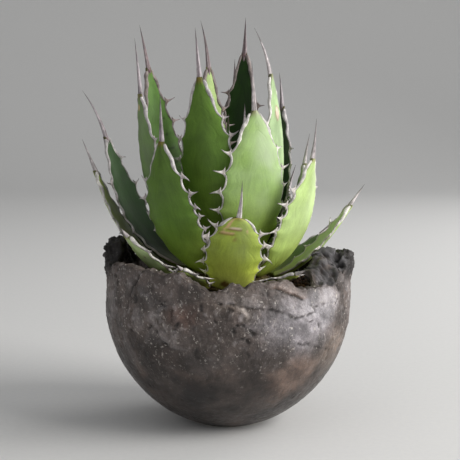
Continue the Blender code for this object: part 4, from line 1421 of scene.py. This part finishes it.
    def drill(self, bowl: bpy.types.Object) -> None:
        """Cut the drain holes through the floor."""
        shell = Shell()
        turns = ring_at(np.linspace(0, 360, 28, endpoint=False)) * self.drain_hole / 2
        for i in range(self.drain_holes):
            middle = ring_at(90 + 360 * i / self.drain_holes) * self.drain_circle
            ends = (-self.drilling, self.floor + self.drilling)
            rings = np.array([turns + middle + UP * z for z in ends])
            shell.add(rings, np.array([0.1, 0.1, 0.1]))
        cutter = shell.build("drain_cutter", [])
        cut = bowl.modifiers.new("drain_holes", "BOOLEAN")
        cut.operation = "DIFFERENCE"
        cut.solver = "EXACT"
        cut.object = cutter
        graph = bpy.context.evaluated_depsgraph_get()
        carved = bpy.data.meshes.new_from_object(bowl.evaluated_get(graph))
        bowl.modifiers.clear()
        bowl.data = carved
        bpy.data.objects.remove(cutter)

    def build(self, clay: bpy.types.Material) -> bpy.types.Object:
        """Make the bowl.

        Args:
            clay: Its finish.

        Returns:
            The bowl, as one object that stands for its CAD node.
        """
        rings, kinds = self.rings()
        move, tones, notes = self.shape(rings, kinds)
        rings = rings + self.normals(rings) * move.reshape(rings.shape[:2])[..., None]
        rings[..., 2] = np.maximum(rings[..., 2], 0.0)
        shell = Shell()
        shell.add(rings, tones.reshape(rings.shape), notes.reshape(rings.shape))
        made = shell.build("bowl_dressed", [clay])
        self.drill(made)
        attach(made, BODY)
        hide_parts("bowl")
        return made


# ---- what fills the bowl ----

CRUMB_COLOURS = (
    (0.45, paint(58, 42, 30)),
    (0.72, paint(40, 34, 30)),
    (0.9, paint(92, 68, 46)),
    (1.01, paint(150, 134, 112)),
)


@dataclass(frozen=True)
class PottingMix:
    """The top of the potting mix: crumbs of bark, charcoal and pumice lying on it."""

    inside: float = 57.6
    stem_clear: float = 24.0
    crumbs: int = 900
    smallest: float = 0.7
    largest: float = 2.7

    def crumb(self, rng: np.random.Generator) -> tuple[Array, Array]:
        """One crumb as rings round its middle, with its colour."""
        size = self.smallest + (self.largest - self.smallest) * rng.random() ** 2.2
        stretch = np.array([1.0, 0.6 + 0.5 * rng.random(), 0.45 + 0.4 * rng.random()]) * size
        spin = rng.random() * math.tau
        polar = np.radians([24, 62, 100, 140, 164])
        turns = np.linspace(0, math.tau, 8, endpoint=False)
        flat, high = np.sin(polar)[:, None], -np.cos(polar)[:, None]
        ring = np.stack([flat * np.cos(turns), flat * np.sin(turns), high * np.ones(8)], -1)
        ring *= (1 + 0.28 * (rng.random(ring.shape[:2]) - 0.5))[..., None]
        ring = ring * stretch
        c, s = math.cos(spin), math.sin(spin)
        ring = ring @ np.array([[c, s, 0], [-s, c, 0], [0, 0, 1.0]])
        chance = rng.random()
        colour = next(np.array(colour) for limit, colour in CRUMB_COLOURS if chance < limit)
        return ring, colour * (0.7 + 0.6 * rng.random())

    def build(self, loose: bpy.types.Material) -> bpy.types.Object:
        """Make the crumbs.

        Args:
            loose: Their finish.

        Returns:
            All the crumbs as one object.
        """
        rng = np.random.default_rng(7)
        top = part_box("potting_mix")[1][2] / MM
        shell = Shell()
        for _ in range(self.crumbs):
            ring, colour = self.crumb(rng)
            radius = self.stem_clear + (self.inside - self.stem_clear) * math.sqrt(rng.random())
            spot = ring_at(rng.random() * 360) * radius
            spot = spot + UP * (top - 0.7 + 0.9 * rng.random())
            shell.add(ring + spot, colour)
        made = shell.build("potting_crumbs", [loose])
        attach(made, BODY)
        return made


@dataclass(frozen=True)
class Stem:
    """The short stem under the leaves, ringed with the scars of old leaf bases."""

    foot: float = 25.2
    top: float = 2.2
    soil_line: float = 73.3
    columns: int = 120
    rings: int = 60

    def build(self, bark: bpy.types.Material) -> bpy.types.Object:
        """Make the stem.

        Args:
            bark: Its finish.

        Returns:
            The stem with its roots, as one object that stands for its CAD node.
        """
        low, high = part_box("stem_and_roots")
        bottom, base = low[2] / MM, self.soil_line
        t = np.linspace(0, 1, self.rings)
        radius = self.foot + (self.top - self.foot) * t
        z = base + (high[2] / MM - 0.5 - base) * t
        roots = [(13, bottom), (19, bottom + 7), (19, base - 0.2), (24.4, base - 0.1)]
        profile = [*roots, *zip(radius, z)]
        turns = ring_at(np.linspace(0, 360, self.columns, endpoint=False))
        rings = np.array([turns * r + UP * h for r, h in profile])
        flat = rings.reshape(-1, 3)
        rough = waves(flat * [1, 1, 2.4], 3.0, 61, 3) * 0.5 + 0.3 * np.sin(flat[:, 2] * 4.2)
        rough = rough * step(base, base + 1.0, flat[:, 2]) - 0.45
        away = unit(flat * [1, 1, 0])
        flat = flat + away * (rough * step(base - 0.4, base, flat[:, 2]))[:, None]
        shade = waves(flat, 4.0, 62, 3)
        tones = np.array(paint(104, 92, 58)) * (1 + 0.4 * shade)[:, None]
        tones = tint(tones, paint(70, 48, 32), step(0.1, 0.7, waves(flat, 2.6, 63, 2)))
        shell = Shell()
        shell.add(flat.reshape(rings.shape), tones.reshape(rings.shape))
        made = shell.build("stem_dressed", [bark])
        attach(made, BODY)
        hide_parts("stem_and_roots")
        return made


def dress_node(name: str, finish: bpy.types.Material) -> None:
    """Give a CAD node that stays its finish."""
    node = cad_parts[name]
    for place in node.material_slots:
        place.material = finish
    if not node.material_slots:
        node.data.materials.append(finish)


# ---- studio ----


@dataclass(frozen=True)
class Studio:
    """A pale floor, soft light from the right and the camera."""

    eye: Spot = (1.0, -589.0, 170.0)
    pitch: float = 83.4
    lens: float = 87.4
    aim: float = 0.09
    sky: Colour = (0.86, 0.88, 0.9)
    sky_strength: float = 0.4
    floor_reach: float = 4000.0
    floor_front: float = -3000.0
    floor_back: float = 1500.0
    floor_bend: float = 1200.0

    def floor(self) -> None:
        """A pale floor that curves up far behind the bowl."""
        r = Recipe("studio_floor", 0.7, 0.2)
        grain = r.speckle(3 * MM, 3.0)
        colour = r.mix(grain, paint(206, 205, 204), paint(214, 213, 211))
        finish = r.finish(colour)
        across = (-self.floor_reach, self.floor_reach)
        course = [(self.floor_front, 0.0), (self.floor_back, 0.0)]
        for k in np.linspace(0, 1, 20)[1:]:
            turn, bend = k * math.pi / 2, self.floor_bend
            course.append((self.floor_back + bend * math.sin(turn), bend * (1 - math.cos(turn))))
        course.append((self.floor_back + self.floor_bend, self.floor_reach))
        points = [(x * MM, y * MM, z * MM) for y, z in course for x in across]
        faces = [(2 * i, 2 * i + 1, 2 * i + 3, 2 * i + 2) for i in range(len(course) - 1)]
        mesh = bpy.data.meshes.new("studio_floor")
        mesh.from_pydata(points, [], faces)
        mesh.polygons.foreach_set("use_smooth", [True] * len(faces))
        mesh.materials.append(finish)
        made = bpy.data.objects.new("studio_floor", mesh)
        bpy.context.scene.collection.objects.link(made)

    def lamp(
        self, name: str, spot: Spot, size: float, power: float, colour: Colour = (1, 1, 1)
    ) -> bpy.types.Object:
        """One soft lamp that faces the plant.

        Args:
            name: Its name.
            spot: Where it hangs, in metres.
            size: Its width, in metres.
            power: Its power, in watts.
            colour: Its colour.

        Returns:
            The lamp.
        """
        data = bpy.data.lights.new(name, "AREA")
        data.size = size
        data.energy = power
        data.color = colour
        made = bpy.data.objects.new(name, data)
        made.location = spot
        facing = Vector((0, 0, self.aim)) - Vector(spot)
        made.rotation_euler = facing.to_track_quat("-Z", "Y").to_euler()
        bpy.context.scene.collection.objects.link(made)
        return made

    def build(self) -> None:
        """Set up the floor, the lamps, the sky and the camera."""
        self.floor()
        self.lamp("window", (1.35, -0.5, 0.78), 1.1, 31.0, (1.0, 0.99, 0.97))
        self.lamp("window_back", (1.1, 0.8, 0.7), 0.8, 9.0).visible_glossy = False
        self.lamp("fill", (-1.4, -1.3, 0.9), 1.4, 3.0)
        world = bpy.data.worlds.new("studio")
        world.use_nodes = True
        sky = world.node_tree.nodes["Background"]
        sky.inputs["Color"].default_value = (*self.sky, 1)
        sky.inputs["Strength"].default_value = self.sky_strength
        scene = bpy.context.scene
        scene.world = world
        scene.view_settings.view_transform = "Standard"
        data = bpy.data.cameras.new("camera")
        data.lens = self.lens
        data.sensor_width = 36.0
        data.clip_start = 0.01
        made = bpy.data.objects.new("camera", data)
        made.location = Vector(self.eye) * MM
        made.rotation_euler = (math.radians(self.pitch), 0, 0)
        scene.collection.objects.link(made)
        scene.camera = made


def report(piece: bpy.types.Object) -> None:
    """Log one finished piece."""
    log.info("%s: %d faces", piece.name, len(piece.data.polygons))


def main() -> None:
    """Build every piece, from the bowl upwards."""
    logging.basicConfig(level=logging.INFO, format="%(name)s: %(message)s")
    Studio().build()
    report(Bowl().build(FiredClay().make()))
    dress_node("potting_mix", Loose("potting_mix", 1.6 * MM, 0.9, paint(56, 44, 34)).make())
    dress_node("drainage_grit", Loose("grit", 2.4 * MM, 0.85, paint(140, 130, 112)).make())
    dress_node("drain_mesh", Loose("mesh_plastic", 0.6 * MM, 0.55, paint(34, 34, 35)).make())
    report(PottingMix().build(Loose("crumbs", 0.9 * MM, 0.85).make()))
    report(Stem().build(Loose("stem_bark", 1.4 * MM, 0.75).make()))
    skin, horn = LeafSkin().make(), Horn().make()
    for number, plan in enumerate(LEAF_PLANS):
        look = LOOKS.get(plan.name, Look())
        report(Leaf(plan, look, Rosette(), number + 1).build(skin, horn))
    report(Bud().build(skin, horn))


if __name__ == "__main__":
    main()
